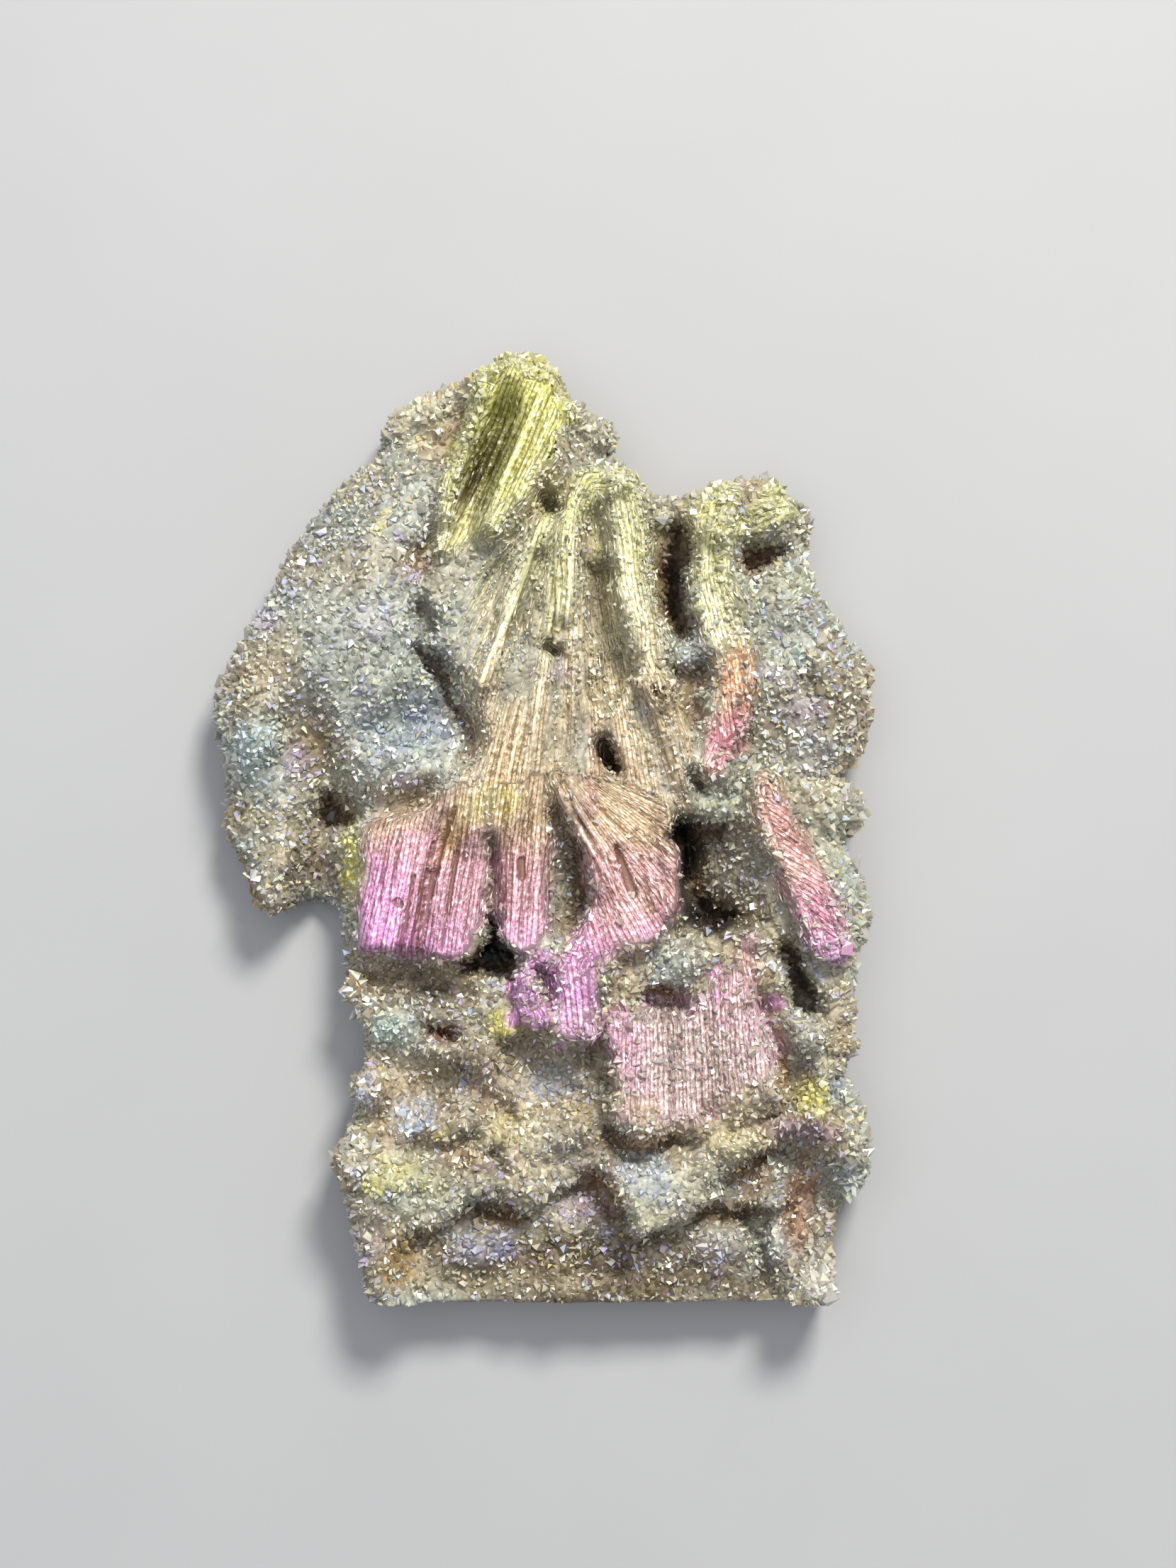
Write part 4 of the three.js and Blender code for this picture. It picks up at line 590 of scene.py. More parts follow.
def net_of(field, low, pitch):
    """A closed net of four-sided faces where the field crosses zero: one vertex in each cell that the surface
    cuts, at the mean of the cuts on its edges, and one face for each cut edge, between the four cells round
    it."""
    cells = np.array(field.shape) - 1
    total = np.zeros((3, cells.prod()))
    count = np.zeros(cells.prod())
    faces = []
    for axis, (u, v) in enumerate(((1, 2), (2, 0), (0, 1))):
        here, there = shifted(field, (axis,), (0,)), shifted(field, (axis,), (1,))
        cut = np.argwhere((here < 0) != (there < 0))
        near, far = here[tuple(cut.T)], there[tuple(cut.T)]
        spot = cut.astype(float)
        spot[:, axis] += near / (near - far)
        round_edge = []
        for step_u, step_v in ((-1, -1), (0, -1), (0, 0), (-1, 0)):
            cell = cut.copy()
            cell[:, u] += step_u
            cell[:, v] += step_v
            number = (cell[:, 0] * cells[1] + cell[:, 1]) * cells[2] + cell[:, 2]
            for n in range(3):
                total[n] += np.bincount(number, spot[:, n], len(count))
            count += np.bincount(number, minlength=len(count))
            round_edge.append(number)
        ring = np.stack(round_edge, axis=1)
        ring[near >= 0] = ring[near >= 0][:, ::-1]
        faces.append(ring)
    used = count > 0
    order = np.cumsum(used) - 1
    return (total[:, used] / count[used]).T * pitch + low, order[np.concatenate(faces)]


GRID_LOW = np.array([-41.0, -57.0, -1.1])
GRID_HIGH = np.array([41.0, 58.0, 24.0])
LUMP_REACH = 3

samples = np.ceil((GRID_HIGH - GRID_LOW) / SKIN_PITCH).astype(int) + 1
grid_x, grid_y, grid_z = (GRID_LOW[n] + SKIN_PITCH * np.arange(samples[n]) for n in range(3))
column_x, column_y = (c.copy() for c in np.broadcast_arrays(grid_x[:, None], grid_y[None, :]))
column_outline = outline_distance(OUTLINE, column_x, column_y)
column_plate = np.max(plate_shares(column_x, column_y), axis=0)
column_level = ground(*strayed(column_x, column_y, column_plate), column_outline)
columns = [column_level, column_outline, column_plate]
spread = [c[:, :, None] for c in [column_x, column_y] + columns]
field = slab_field(*spread[:2], grid_z[None, None, :], *spread[2:], 0)
# The lumps are only worked out near the surface, because they move it by less than their reach.
close = np.nonzero(np.abs(field) < LUMP_REACH)
spot = [column_x[close[:2]], column_y[close[:2]], grid_z[close[2]]]
field[close] = slab_field(*spot, *(c[close[:2]] for c in columns), druse_lumps(*spot))
field[:, :, 0] = field[:, :, -1] = 1
points, faces = net_of(unpinched(field), GRID_LOW, SKIN_PITCH)


def line_flow(line, x, y):
    """Along a line of segments: signed distance from the nearest one, and length of line up to there."""
    nearest = np.full(x.shape, np.inf)
    across, along = np.zeros(x.shape), np.zeros(x.shape)
    start = 0.0
    for a, b in zip(line, line[1:]):
        length = math.hypot(b[0] - a[0], b[1] - a[1])
        t = along_segment(x, y, a, b)
        gap = np.hypot(x - mix(a[0], b[0], t), y - mix(a[1], b[1], t))
        side = np.sign((b[0] - a[0]) * (y - a[1]) - (b[1] - a[1]) * (x - a[0]))
        closer = gap < nearest
        across = np.where(closer, side * gap, across)
        along = np.where(closer, start + t * length, along)
        nearest = np.minimum(nearest, gap)
        start += length
    return across, along


def fan_flow(apex, centre, x, y):
    """Lines that fan out from a point: the angle times the centre's distance from it, and the distance."""
    reach = math.hypot(centre[0] - apex[0], centre[1] - apex[1])
    return np.arctan2(x - apex[0], apex[1] - y) * reach, np.hypot(x - apex[0], y - apex[1])


def flows(x, y, shares):
    """Across and along the lines of the plate or rib that a point lies on most, and elsewhere of the fan."""
    all_flows = [fan_flow(apex, np.mean(plate, axis=0), x, y) for apex, plate in zip(PLATE_FANS, PLATES)]
    all_flows += [line_flow(line, x, y) for _, _, line in RIBS] + [fan_flow(FAN_APEX, FAN_CENTRE, x, y)]
    best = np.argmax(shares, axis=0)
    best[np.max(shares, axis=0) < 0.02] = len(all_flows) - 1
    return np.stack([np.choose(best, [f[n] for f in all_flows]) for n in (0, 1)])


# The lines on a plate, as layers of long narrow lumps: strength, width, length and the layer's own number.
STRIAE = [(0.35, 1.9, 30, 2.5), (0.75, 0.55, 9, 5.5), (0.3, 0.3, 3, 8.5)]
LINE_FLANK = 0.25


def striae(across, along):
    """The lines' relief from about -1 to 1, as the sum of their layers."""
    return sum(part * lumps(across / width, along / length, layer) for part, width, length, layer in STRIAE)


def lone_lines(x, y):
    """The sum of the single lines' relief in millimetres, each eased to nothing past its width."""
    return sum(rise * ease(1 - line_distance(line, x, y) / LINE_FLANK) for rise, line in LONE_LINES)


def facing_up(normals):
    """1 where a surface faces the front and 0 where it faces the back, eased where it stands steep."""
    return ease((normals[:, 2] + 0.1) / 0.3)


def face_normals(points, faces):
    """The cross product of each four-sided face's diagonals: along its normal, and twice its area long."""
    return np.cross(points[faces[:, 2]] - points[faces[:, 0]], points[faces[:, 3]] - points[faces[:, 1]])


def point_normals(points, faces):
    """The sum of the normals of the faces around each point, made one long."""
    normals = face_normals(points, faces)
    total = [np.bincount(faces.ravel(), np.repeat(normals[:, n], 4), len(points)) for n in range(3)]
    total = np.stack(total, axis=1)
    return total / np.linalg.norm(total, axis=1, keepdims=True)


# The fan's coarse lines, 40 mm long, are raised before anything grows on it.
FAN_RISE = 0.34
FAN_LINE_WIDTH = 1.7
FAN_LINE_LENGTH = 40

normals = point_normals(points, faces)
x, y = points[:, :2].T
fan = fan_share(x, y) * ease(normals[:, 2] / 0.5)
across, along = flows(x, y, plate_shares(x, y))
fan_lines = lumps(across / FAN_LINE_WIDTH, along / FAN_LINE_LENGTH, 0.5) + 0.3
points = points + normals * (FAN_RISE * fan * fan_lines)[:, None]


def mesh_object(name, points, faces):
    """A flat-shaded mesh object from points in millimetres and rows of corner numbers."""
    mesh = bpy.data.meshes.new(name)
    mesh.vertices.add(len(points))
    mesh.vertices.foreach_set("co", (points * MM).ravel())
    mesh.loops.add(faces.size)
    mesh.loops.foreach_set("vertex_index", faces.ravel())
    mesh.polygons.add(len(faces))
    mesh.polygons.foreach_set("loop_start", np.arange(len(faces)) * faces.shape[1])
    mesh.update(calc_edges=True)
    mesh.shade_flat()
    made = bpy.data.objects.new(name, mesh)
    bpy.context.scene.collection.objects.link(made)
    return made


skin = mesh_object("slab_skin", points, faces)

# The first six plates are cut three times as fine and the fan twice, for the lines along them. The sawn faces
# are left as few as they can be.
SMOOTH_PLATES = 6
work = bmesh.new()
work.from_mesh(skin.data)
work.normal_update()


def on_saw_cut(face):
    """A face that lies in the sawn back or in the sawn foot."""
    corners = [v.co / MM for v in face.verts]
    return all(p.z < 0.01 for p in corners) or all(p.y < FOOT_Y + 0.01 for p in corners)


def cut_finer(share_at, least, cuts):
    """Cuts the faces that look up and lie where the share is above `least`, unless they were cut before."""
    centres = np.array([f.calc_center_median() for f in work.faces]) / MM
    whole = np.array([f.calc_area() for f in work.faces]) > 0.5 * (SKIN_PITCH * MM) ** 2
    upward = np.array([f.normal.z for f in work.faces]) > 0.45
    wanted = whole & upward & (share_at(centres[:, 0], centres[:, 1]) > least)
    edges = {edge for face, pick in zip(work.faces, wanted) if pick for edge in face.edges}
    bmesh.ops.subdivide_edges(work, edges=list(edges), cuts=cuts, use_grid_fill=True)


cut_finer(lambda x, y: np.max(plate_shares(x, y)[:SMOOTH_PLATES], axis=0), 0.45, 2)
cut_finer(fan_share, 0.7, 1)
sawn = {f for f in work.faces if on_saw_cut(f)}
flat_edges = [e for e in work.edges if len(e.link_faces) == 2 and sawn.issuperset(e.link_faces)]
bmesh.ops.dissolve_limit(work, angle_limit=0.02, use_dissolve_boundaries=False, verts=[], edges=flat_edges)
for face in work.faces:
    is_sawn = on_saw_cut(face)
    face.smooth = not is_sawn
    face.material_index = int(is_sawn)
work.to_mesh(skin.data)
work.free()

# The lines' relief, in which a single line counts for more than its rise.
STRIA_RISE = 0.2
LONE_STRENGTH = 2.6


def read_vectors(mesh, name):
    """The places or normals of a mesh's vertices, one in a row."""
    values = np.empty(len(mesh.vertices) * 3)
    mesh.vertices.foreach_get(name, values)
    return values.reshape(-1, 3)


spots = read_vectors(skin.data, "co") / MM
outward = read_vectors(skin.data, "normal")
x, y = spots[:, :2].T
shares = plate_shares(x, y)
lined = np.maximum(np.max(shares, axis=0), fan_share(x, y)) * facing_up(outward)
across, along = flows(x, y, shares)
lines = striae(across, along) + LONE_STRENGTH * lone_lines(x, y) * lined
spots = spots + outward * (STRIA_RISE * lined * lines)[:, None]
skin.data.vertices.foreach_set("co", np.clip(spots, CAD_LOW, CAD_HIGH).ravel() * MM)
skin.data.update()


def linear(colour):
    """A colour written as #rrggbb, as three linear numbers."""
    s = np.array([int(colour[n:n + 2], 16) for n in (1, 3, 5)]) / 255
    return np.where(s <= 0.04045, s / 12.92, ((s + 0.055) / 1.055) ** 2.4)


# The stone: a grey, a beige and a cool grey that change in clouds, and a brown for the painted shade in the
# depths and the creases.
STONE_GREY = linear("#a09e8c")
STONE_BEIGE = linear("#a8997e")
STONE_COOL = linear("#9ca39f")
PAINTED_SHADE_BROWN = linear("#876a4e")

# Stained patches, as x, y, radius along, radius across, turn in degrees, colour and strength. Most are the
# stone's own colours, but the dark browns and greys set in hollows and pockets, and in the creases under the
# ledges of the lower block, are painted shade.
STAINS_AND_PAINTED_SHADE = [
    (-26.4, 10, 8, 4, 80, "#8e7c62", 0.7), (-13.6, 31, 4, 2.6, 60, "#7c6850", 0.8),
    (-12, 45.4, 5, 3, 10, "#c8b898", 0.8), (-15, 48, 6, 4, 20, "#d4c8aa", 0.7),
    (-27, -4, 5, 4, 60, "#6d5c45", 0.7), (-34.5, -5.5, 6, 1.8, 118, "#97804a", 0.9),
    (24.6, 31, 3.4, 2, 20, "#6b4a34", 0.8), (13.8, 28, 7, 2.0, 88, "#84694c", 0.9),
    (30.0, -43.2, 10.5, 3.2, 84, "#8a6247", 0.8), (-11.5, -23.5, 2.6, 1.6, 0, "#7c4434", 0.9),
    (30, -34.4, 6.4, 1.8, -6, "#8f7482", 0.7), (24.8, -13.2, 1.8, 4.0, 20, "#b0a79a", 0.6),
    (14.4, -19.4, 3.4, 2, -20, "#5e3d28", 0.9), (5, -51, 32, 8, 0, "#66573f", 0.95),
    (-17, -50, 4, 4, 0, "#a98f60", 0.8), (32, -52, 3, 3, 0, "#c3beb4", 0.8),
    (-5, -32, 3.4, 2.6, 0, "#7c6454", 0.7), (-13.4, 13.4, 4, 5, -20, "#73808f", 0.7),
    (2, -34, 34, 13, 0, "#a8957e", 0.45), (13.6, -41, 6, 4.6, -10, "#b6b6a8", 0.7),
    (-7, -29.6, 3, 2, 0, "#a98f82", 0.7), (24, -40.4, 4, 3, 0, "#826a54", 0.8),
    (27.5, -26, 1.8, 5, 12, "#a8824e", 0.7), (-19.6, -47, 2.2, 4.6, 0, "#a79a98", 0.7),
    (11, 13.8, 2.2, 1.7, 0, "#8795a3", 0.9), (-1.2, 28, 4.5, 1.3, 70, "#7f8a93", 0.8),
    (30, 14, 9, 7, 0, "#86827a", 0.6), (7.3, 8.5, 2.4, 1.6, -60, "#4e3220", 0.9),
    (23.6, -5, 8, 4.4, -52, "#969080", 0.9), (6.6, -42.4, 4.4, 5.0, 0, "#84613f", 0.8),
    (21.4, -44.2, 8, 2.4, 0, "#84613f", 0.7), (-6, -44.8, 6, 2.2, 0, "#84613f", 0.7),
    (11.4, -35.6, 7, 1.8, 0, "#8c6c4a", 0.7), (24.6, -38.4, 5, 2.2, 34, "#86664a", 0.8),
    (-9, -37.4, 5, 2, -10, "#8c6c4a", 0.6), (-18, -17.4, 7, 2.6, 0, "#6c583f", 0.6),
    (-34, 17, 4, 6, 0, "#98876c", 0.6), (33, 16, 3.4, 6, 0, "#8a7a62", 0.6),
    (25.4, 12, 3, 3, 0, "#857660", 0.6), (20.6, 3.0, 6.4, 2.2, 0, "#b8b9a4", 0.8),
    (32.6, -2, 7, 3, 80, "#b6b8a4", 0.7), (-14, -19, 7, 3.4, -6, "#6a5f52", 0.7),
]

# Painted shadow: black patches in the deepest hollows that no light reaches, where little quartz grows.
PAINTED_SHADOW_POCKETS = [
    (16.0, -3.2, 8.6, 3.4, 84, "#0c0907", 1.0), (19.4, -9.8, 6.6, 3.2, -14, "#1a0f0a", 0.95),
    (15.2, 28.4, 6.4, 1.5, 86, "#20160e", 0.8), (-6.0, -14.4, 3.6, 3.0, 0, "#0c0907", 1.0),
    (30.2, -17.6, 4.4, 1.5, -56, "#20140c", 0.8),
]

# The film of metal: its colour from the foot (first) to the peak, patches that only tint it, and more patches
# of film on the open druse.
FILM_Y = [-30, -20, -13, -6, 0, 5, 12, 20, 28, 38, 50]
FILM_COLOURS = [
    "#d4b4b8", "#e4a2dc", "#e4a4d2", "#e0aabe", "#dab0aa", "#d6b89a", "#d6bc9a", "#dccaa6", "#e2dab4",
    "#dcd89e", "#d0cc78",
]
TINTS = [
    (17.4, -25, 14, 10, -20, "#c0a6a4", 1.0), (23, -18, 5, 7, 0, "#dab4b8", 0.9),
    (9.6, -25, 2.4, 6, 0, "#e0aac4", 0.7), (24, -14, 3, 3, 0, "#d8b4ae", 0.9),
    (-18.8, -9.0, 6.0, 8.6, 0, "#ec9ee2", 0.55), (-14, -1.4, 6, 2.2, 0, "#e0a4ba", 0.7),
    (28, 0, 4, 8, 30, "#dc9ea2", 0.8), (31.4, -8.6, 5, 4, 0, "#de94b0", 0.8),
    (10, -8, 5, 5, 0, "#deb2b4", 0.7), (-5.6, 3.4, 5, 3, 20, "#d2c078", 0.8),
    (-10, 0, 2.2, 5, -20, "#d8b27a", 0.8), (22.6, 16.6, 4.4, 6, 0, "#e4ae88", 1.0),
    (21, 10.6, 5.0, 5.4, 0, "#e29aa6", 1.0), (-6.4, 42.2, 8.0, 3.2, 64, "#625b1e", 0.95),
    (-2.6, 41.0, 5, 1.6, 60, "#c9c264", 0.5),
]
FILMS = [
    (-18.3, 35, 3.2, 1.2, 62, "#dcd07c", 0.8), (-21.8, -4.2, 7.4, 2.6, 88, "#fff26a", 1.0),
    (-4.2, -22, 3.0, 2.4, 0, "#e4dc62", 1.0), (-15.6, -39.4, 5.4, 3.4, -24, "#ece29a", 1.0),
    (-18.8, -40.4, 2.6, 2.4, 0, "#e0d654", 1.0), (-11.5, -34.8, 3, 1.4, 10, "#dccb84", 0.7),
    (-3.4, -34.6, 5.4, 2.8, 16, "#e8dc9c", 0.9), (31.2, -30.6, 2.6, 3.2, 0, "#ece468", 1.0),
    (21.4, -35.8, 4.4, 2.6, 10, "#ece4b0", 0.9), (-12.8, -43.0, 5.4, 3.0, 20, "#eae8cc", 0.9),
    (-17, -23, 3.8, 3.0, 0, "#c4dcd4", 0.9), (-14.6, -33, 4.0, 3.2, 0, "#bccce4", 0.9),
    (-20, -30.2, 1.8, 3.0, 0, "#b9c4e4", 0.7), (-34, -1, 2.4, 2, 0, "#b4cbd4", 0.5),
    (12.0, -39.8, 5.0, 3.2, -20, "#b4c6da", 0.85), (12.6, -43.8, 4.4, 2.4, -20, "#e6e2c0", 0.8),
    (0.7, -29.2, 5.4, 3.2, 10, "#b0c2d8", 0.85), (20.4, -48.4, 4.4, 3.4, 0, "#cfc8d4", 0.5),
    (13.6, -50, 4.4, 3, 0, "#dccfbc", 0.5), (-4, -52.4, 13, 2.4, 0, "#e4d6b0", 0.6),
    (33.6, -30, 1.6, 2.6, 0, "#b9cce4", 0.7), (27.2, -48, 2.4, 3, 0, "#d8d8dc", 0.6),
    (30, 14, 3.4, 2.4, 0, "#b79bd0", 0.5), (26, 18, 2.8, 2, 0, "#b79bd0", 0.45),
    (2, 18, 2.2, 1.6, 0, "#b48fc4", 0.25), (4.6, -44.0, 4.8, 2.6, 0, "#ccbcd8", 0.75),
    (-7, -48.2, 5.8, 2.8, 0, "#a8a8d4", 0.8), (-15, 29, 2.6, 1.6, 0, "#b79bcf", 0.5),
    (26.6, 38.8, 3.4, 2, 10, "#cfd07a", 0.8), (30, -34.4, 6.4, 2.2, 0, "#b08ca8", 0.35),
    (-17, 11, 8, 5.6, 0, "#9cb4d0", 0.6), (-13, 11.8, 5.4, 3.2, -30, "#8088b8", 0.65),
    (-15.6, 6, 2.4, 1.6, 0, "#a884cc", 0.5), (-28.4, 8.2, 2.4, 3.0, 0, "#b094d0", 0.7),
    (-31.6, 24, 2, 2, 0, "#a884cc", 0.5), (-19, 24, 3.4, 4, 0, "#b39cc0", 0.4),
    (28, 22, 4.4, 5, 0, "#b4c8cc", 0.55), (31, 9, 4.4, 4.4, 0, "#a9b4cc", 0.5),
    (29, 27.6, 4.4, 3, 0, "#c4d0b4", 0.6), (-33, 10, 3.0, 6, 0, "#b8d4dc", 0.8),
    (16.6, -32, 5, 2.4, 0, "#d79ac0", 0.5),
]

# The film wanders past the edges of the plates and ribs, more so on the lower part, and thins out there.
FILM_WANDER, LOW_FILM_WANDER = 0.9, 2.4
WANDER_SIZE = 1.8
PLATE_FADE = 2.4
RIB_FADE = 1.5


def film_share(x, y):
    """How far the film of the plates and ribs reaches: 1 on them, and eased to 0 past their strayed edges."""
    wander = mix(FILM_WANDER, LOW_FILM_WANDER, ease((-14 - y) / 4))
    dx, dy = (wander * lumps(x / WANDER_SIZE, y / WANDER_SIZE, layer) for layer in (2.2, 6.2))
    x, y = x + dx, y + dy
    plates = [ease(0.75 - outline_distance(plate, x, y) / PLATE_FADE) for plate in PLATES]
    ribs = [ease(1.1 - line_distance(line, x, y) / RIB_FADE) for _, _, line in RIBS]
    return np.max(plates + ribs, axis=0)


def patch_share(x, y, shape):
    """How far a point lies in an oval patch: 1 in the middle, eased to 0 at its edge, which is uneven."""
    u, v = oval(x, y, shape)
    return ease(1.4 * (1 - np.hypot(u, v)) + 0.3 * lumps(x / 1.7, y / 1.7, 4.4))


def patched(colour, patches, x, y):
    """The colour, with that of each patch mixed in as far as it reaches and is strong."""
    for *shape, hue, strength in patches:
        colour = mix(colour, linear(hue), strength * patch_share(x, y, shape)[:, None])
    return colour


# The mean height round each place, from which depths are read: the front, smoothed by its frequencies.
TOP_BLUR = 3.0
OUTSIDE_LEVEL = 6.0
DEPTH_START, DEPTH_END = 0.6, 5.0
top = np.where(column_outline < 0, column_level, OUTSIDE_LEVEL)
rate_x = np.fft.fftfreq(top.shape[0], SKIN_PITCH)[:, None]
rate_y = np.fft.rfftfreq(top.shape[1], SKIN_PITCH)[None, :]
soft = np.exp(-2 * (math.pi * TOP_BLUR) ** 2 * (rate_x**2 + rate_y**2))
mean_top = np.fft.irfft2(np.fft.rfft2(top) * soft, top.shape)


def depth_at(spots):
    """From 0 on open ground to 1 at 5 mm and more below the mean height around, and 0 near the outline."""
    i, j = (np.clip(np.rint((spots[:, n] - GRID_LOW[n]) / SKIN_PITCH).astype(int), 0, top.shape[n] - 1)
            for n in (0, 1))
    sunk = (mean_top[i, j] - spots[:, 2] - DEPTH_START) / (DEPTH_END - DEPTH_START)
    return np.clip(sunk, 0, 1) * ease(-column_outline[i, j] / 3)


# How far the depths and the creases between the knobs are darkened towards brown, as painted shade, and how
# much less so on the lower block.
DEEP_SHADE, LOW_DEEP_SHADE = 0.75, 0.65
CREASE_SHADE, LOW_CREASE_SHADE = 0.4, 0.3


def low_block(y):
    """1 on the block below the plates, eased to 0 over 8 mm above it."""
    return ease((-16 - y) / 8)


def stone_colour(spots):
    """Grey, beige and cool grey mixed by clouds 8, 5 and 3 mm across, then the stains with their painted
    shade, then brown painted shade by the depth and in the creases, then the black pockets of painted shadow.
    All of it is lighter and darker by clouds 6 and 2.5 mm across."""
    x, y, z = spots.T
    warm = 0.5 + 0.9 * lumps(x / 8, y / 8, 1.5) + 0.4 * lumps(x / 3, y / 3, 2.5 + z / 6)
    cool = 0.2 + 1.0 * lumps(x / 5, y / 5, 6.5) + 0.5 * ease((-x - 6) / 10) * ease((y - 2) / 8)
    colour = mix(STONE_GREY, STONE_BEIGE, ease(warm)[:, None])
    colour = mix(colour, STONE_COOL, 0.7 * ease(cool)[:, None])
    colour = patched(colour, STAINS_AND_PAINTED_SHADE, x, y)
    # Painted shade: the depths below the mean height around and the creases between the knobs turn brown.
    crease = ease((0.1 - druse_lumps(x, y, z)) / 1.3)
    low = low_block(y)
    deep_shade = (DEEP_SHADE - LOW_DEEP_SHADE * low) * depth_at(spots)
    crease_shade = (CREASE_SHADE - LOW_CREASE_SHADE * low) * crease
    colour = mix(colour, PAINTED_SHADE_BROWN, np.maximum(deep_shade, crease_shade)[:, None])
    colour = patched(colour, PAINTED_SHADOW_POCKETS, x, y)
    return colour * (1 + 0.16 * lumps(x / 6, y / 6, 5.1) + 0.12 * lumps(x / 2.5, y / 2.5, 7.3))[:, None]


# How strong the film is in the fan, how much its gaps thin it there, and how far its colour strays: towards
# the right, with clouds 4 mm across, and from line to line in the fan.
FAN_FILM = 0.8
FAN_GAPS = 0.3
STRAY_RIGHT = 0.15
STRAY_CLOUDS = 2.5
STRAY_LINES = 7


def film_colour(spots, plate):
    """The film's colour, and how strongly it covers: wholly on the plates, in streaks in the fan, and partly
    in its patches."""
    x, y, _ = spots.T
    fan = fan_share(x, y)
    across, along = fan_flow(FAN_APEX, FAN_CENTRE, x, y)
    stray = STRAY_RIGHT * np.clip(x + 17, 0, 30) * ease((y + 15) / 5)
    stray = stray + STRAY_CLOUDS * lumps(x / 4, y / 4, 9.1)
    stray = stray + STRAY_LINES * fan * lumps(across / 1.5, along / 50, 3.1)
    ramp = np.array([linear(hue) for hue in FILM_COLOURS])
    colour = np.stack([np.interp(y + stray, FILM_Y, ramp[:, n]) for n in range(3)], axis=1)
    colour = patched(colour, TINTS, x, y)
    streaks = 0.5 + 1.1 * lumps(across / 0.8, along / 14, 4.1) + 0.5 * lumps(across / 2.2, along / 30, 7.1)
    streaks = ease(streaks)
    strength = np.maximum(plate * (1 - FAN_GAPS * fan * (1 - streaks)), FAN_FILM * fan * streaks)
    for *shape, hue, most in FILMS:
        share = most * patch_share(x, y, shape) * (1 - plate)
        whole = share / np.maximum(share + strength, 1e-6)
        colour = mix(colour, linear(hue), whole[:, None])
        strength = np.maximum(strength, share)
    return colour, strength


def set_attribute(piece, name, kind, domain, values):
    """Puts an array into a mesh attribute of that kind."""
    attribute = piece.data.attributes.new(name, kind, domain)
    key = {"FLOAT": "value", "FLOAT_VECTOR": "vector", "FLOAT_COLOR": "color"}[kind]
    attribute.data.foreach_set(key, np.ascontiguousarray(values, np.float32).ravel())


# On the open druse it is the grains that carry the film, so the skin between them shows a third of it.
OPEN_FILM = 0.35
x, y = spots[:, :2].T
film_cover = film_share(x, y) * facing_up(outward)
film, film_strength = film_colour(spots, film_cover)
film_strength = film_strength * mix(OPEN_FILM, 1, ease(3 * np.maximum(film_cover, fan_share(x, y))))
stone_rgba = np.column_stack([stone_colour(spots), np.ones(len(spots))])
set_attribute(skin, "stone", "FLOAT_COLOR", "POINT", stone_rgba)
set_attribute(skin, "film", "FLOAT_COLOR", "POINT", np.column_stack([film, film_strength]))
set_attribute(skin, "lines", "FLOAT", "POINT", lines)
set_attribute(skin, "flow", "FLOAT_VECTOR", "POINT", np.column_stack([across, along, np.zeros(len(spots))]))


class Socket:
    """One output of a material's node tree. Arithmetic on it adds Math nodes; node() adds any other node."""

    def __init__(self, tree, output=None):
        self.tree = tree
        self.output = output

    def node(self, kind, settings=None, sockets=None, output=0):
        """Adds a node, its settings first, then a value or link for each socket named. Wraps one output."""
        made = self.tree.nodes.new(kind)
        for name, value in (settings or {}).items():
            setattr(made, name, value)
        for name, value in (sockets or {}).items():
            if isinstance(value, Socket):
                self.tree.links.new(value.output, made.inputs[name])
            else:
                made.inputs[name].default_value = value
        return Socket(self.tree, made.outputs[output])

    def maths(self, operation, *values):
        return self.node("ShaderNodeMath", {"operation": operation}, dict(enumerate(values)))

    def __add__(self, other):
        return self.maths("ADD", self, other)

    def __sub__(self, other):
        return self.maths("SUBTRACT", self, other)

    def __rsub__(self, other):
        return self.maths("SUBTRACT", other, self)

    def __mul__(self, other):
        return self.maths("MULTIPLY", self, other)

    __radd__ = __add__
    __rmul__ = __mul__

    def clamped(self):
        """Held between 0 and 1."""
        return self.node("ShaderNodeClamp", None, {"Value": self})

    def blend(self, a, b):
        """Colours a and b blended by this number."""
        return self.node("ShaderNodeMix", {"data_type": "RGBA"}, {0: self, 6: rgba(a), 7: rgba(b)}, output=2)

    def tinted(self, colour):
        """This colour times another."""
        settings = {"data_type": "RGBA", "blend_type": "MULTIPLY"}
        return self.node("ShaderNodeMix", settings, {0: 1.0, 6: self, 7: rgba(colour)}, output=2)


def rgba(colour):
    """Three linear numbers with a fourth, 1, behind them. A socket stays as it is."""
    return colour if isinstance(colour, Socket) else (*colour, 1)


def material(name):
    """A new material, its tree as a Socket with no output, and its surface shader."""
    made = bpy.data.materials.new(name)
    made.use_nodes = True
    return made, Socket(made.node_tree), made.node_tree.nodes["Principled BSDF"]


def attribute(tree, name, output):
    """An attribute of the mesh."""
    return tree.node("ShaderNodeAttribute", {"attribute_name": name}, output=output)


def noise(tree, vector, scale, detail):
    """Fractal noise from 0 to 1."""
    return tree.node("ShaderNodeTexNoise", None, {"Vector": vector, "Scale": scale, "Detail": detail})


def scaled(tree, vector, scale):
    """A vector with each of its numbers scaled."""
    return tree.node("ShaderNodeMapping", None, {"Vector": vector, "Scale": scale})


def plug(tree, shader, **inputs):
    """Sets or links the shader's sockets, whose names are written with _ for a space."""
    for name, value in inputs.items():
        socket = shader.inputs[name.replace("_", " ")]
        if isinstance(value, Socket):
            tree.tree.links.new(value.output, socket)
        else:
            socket.default_value = value


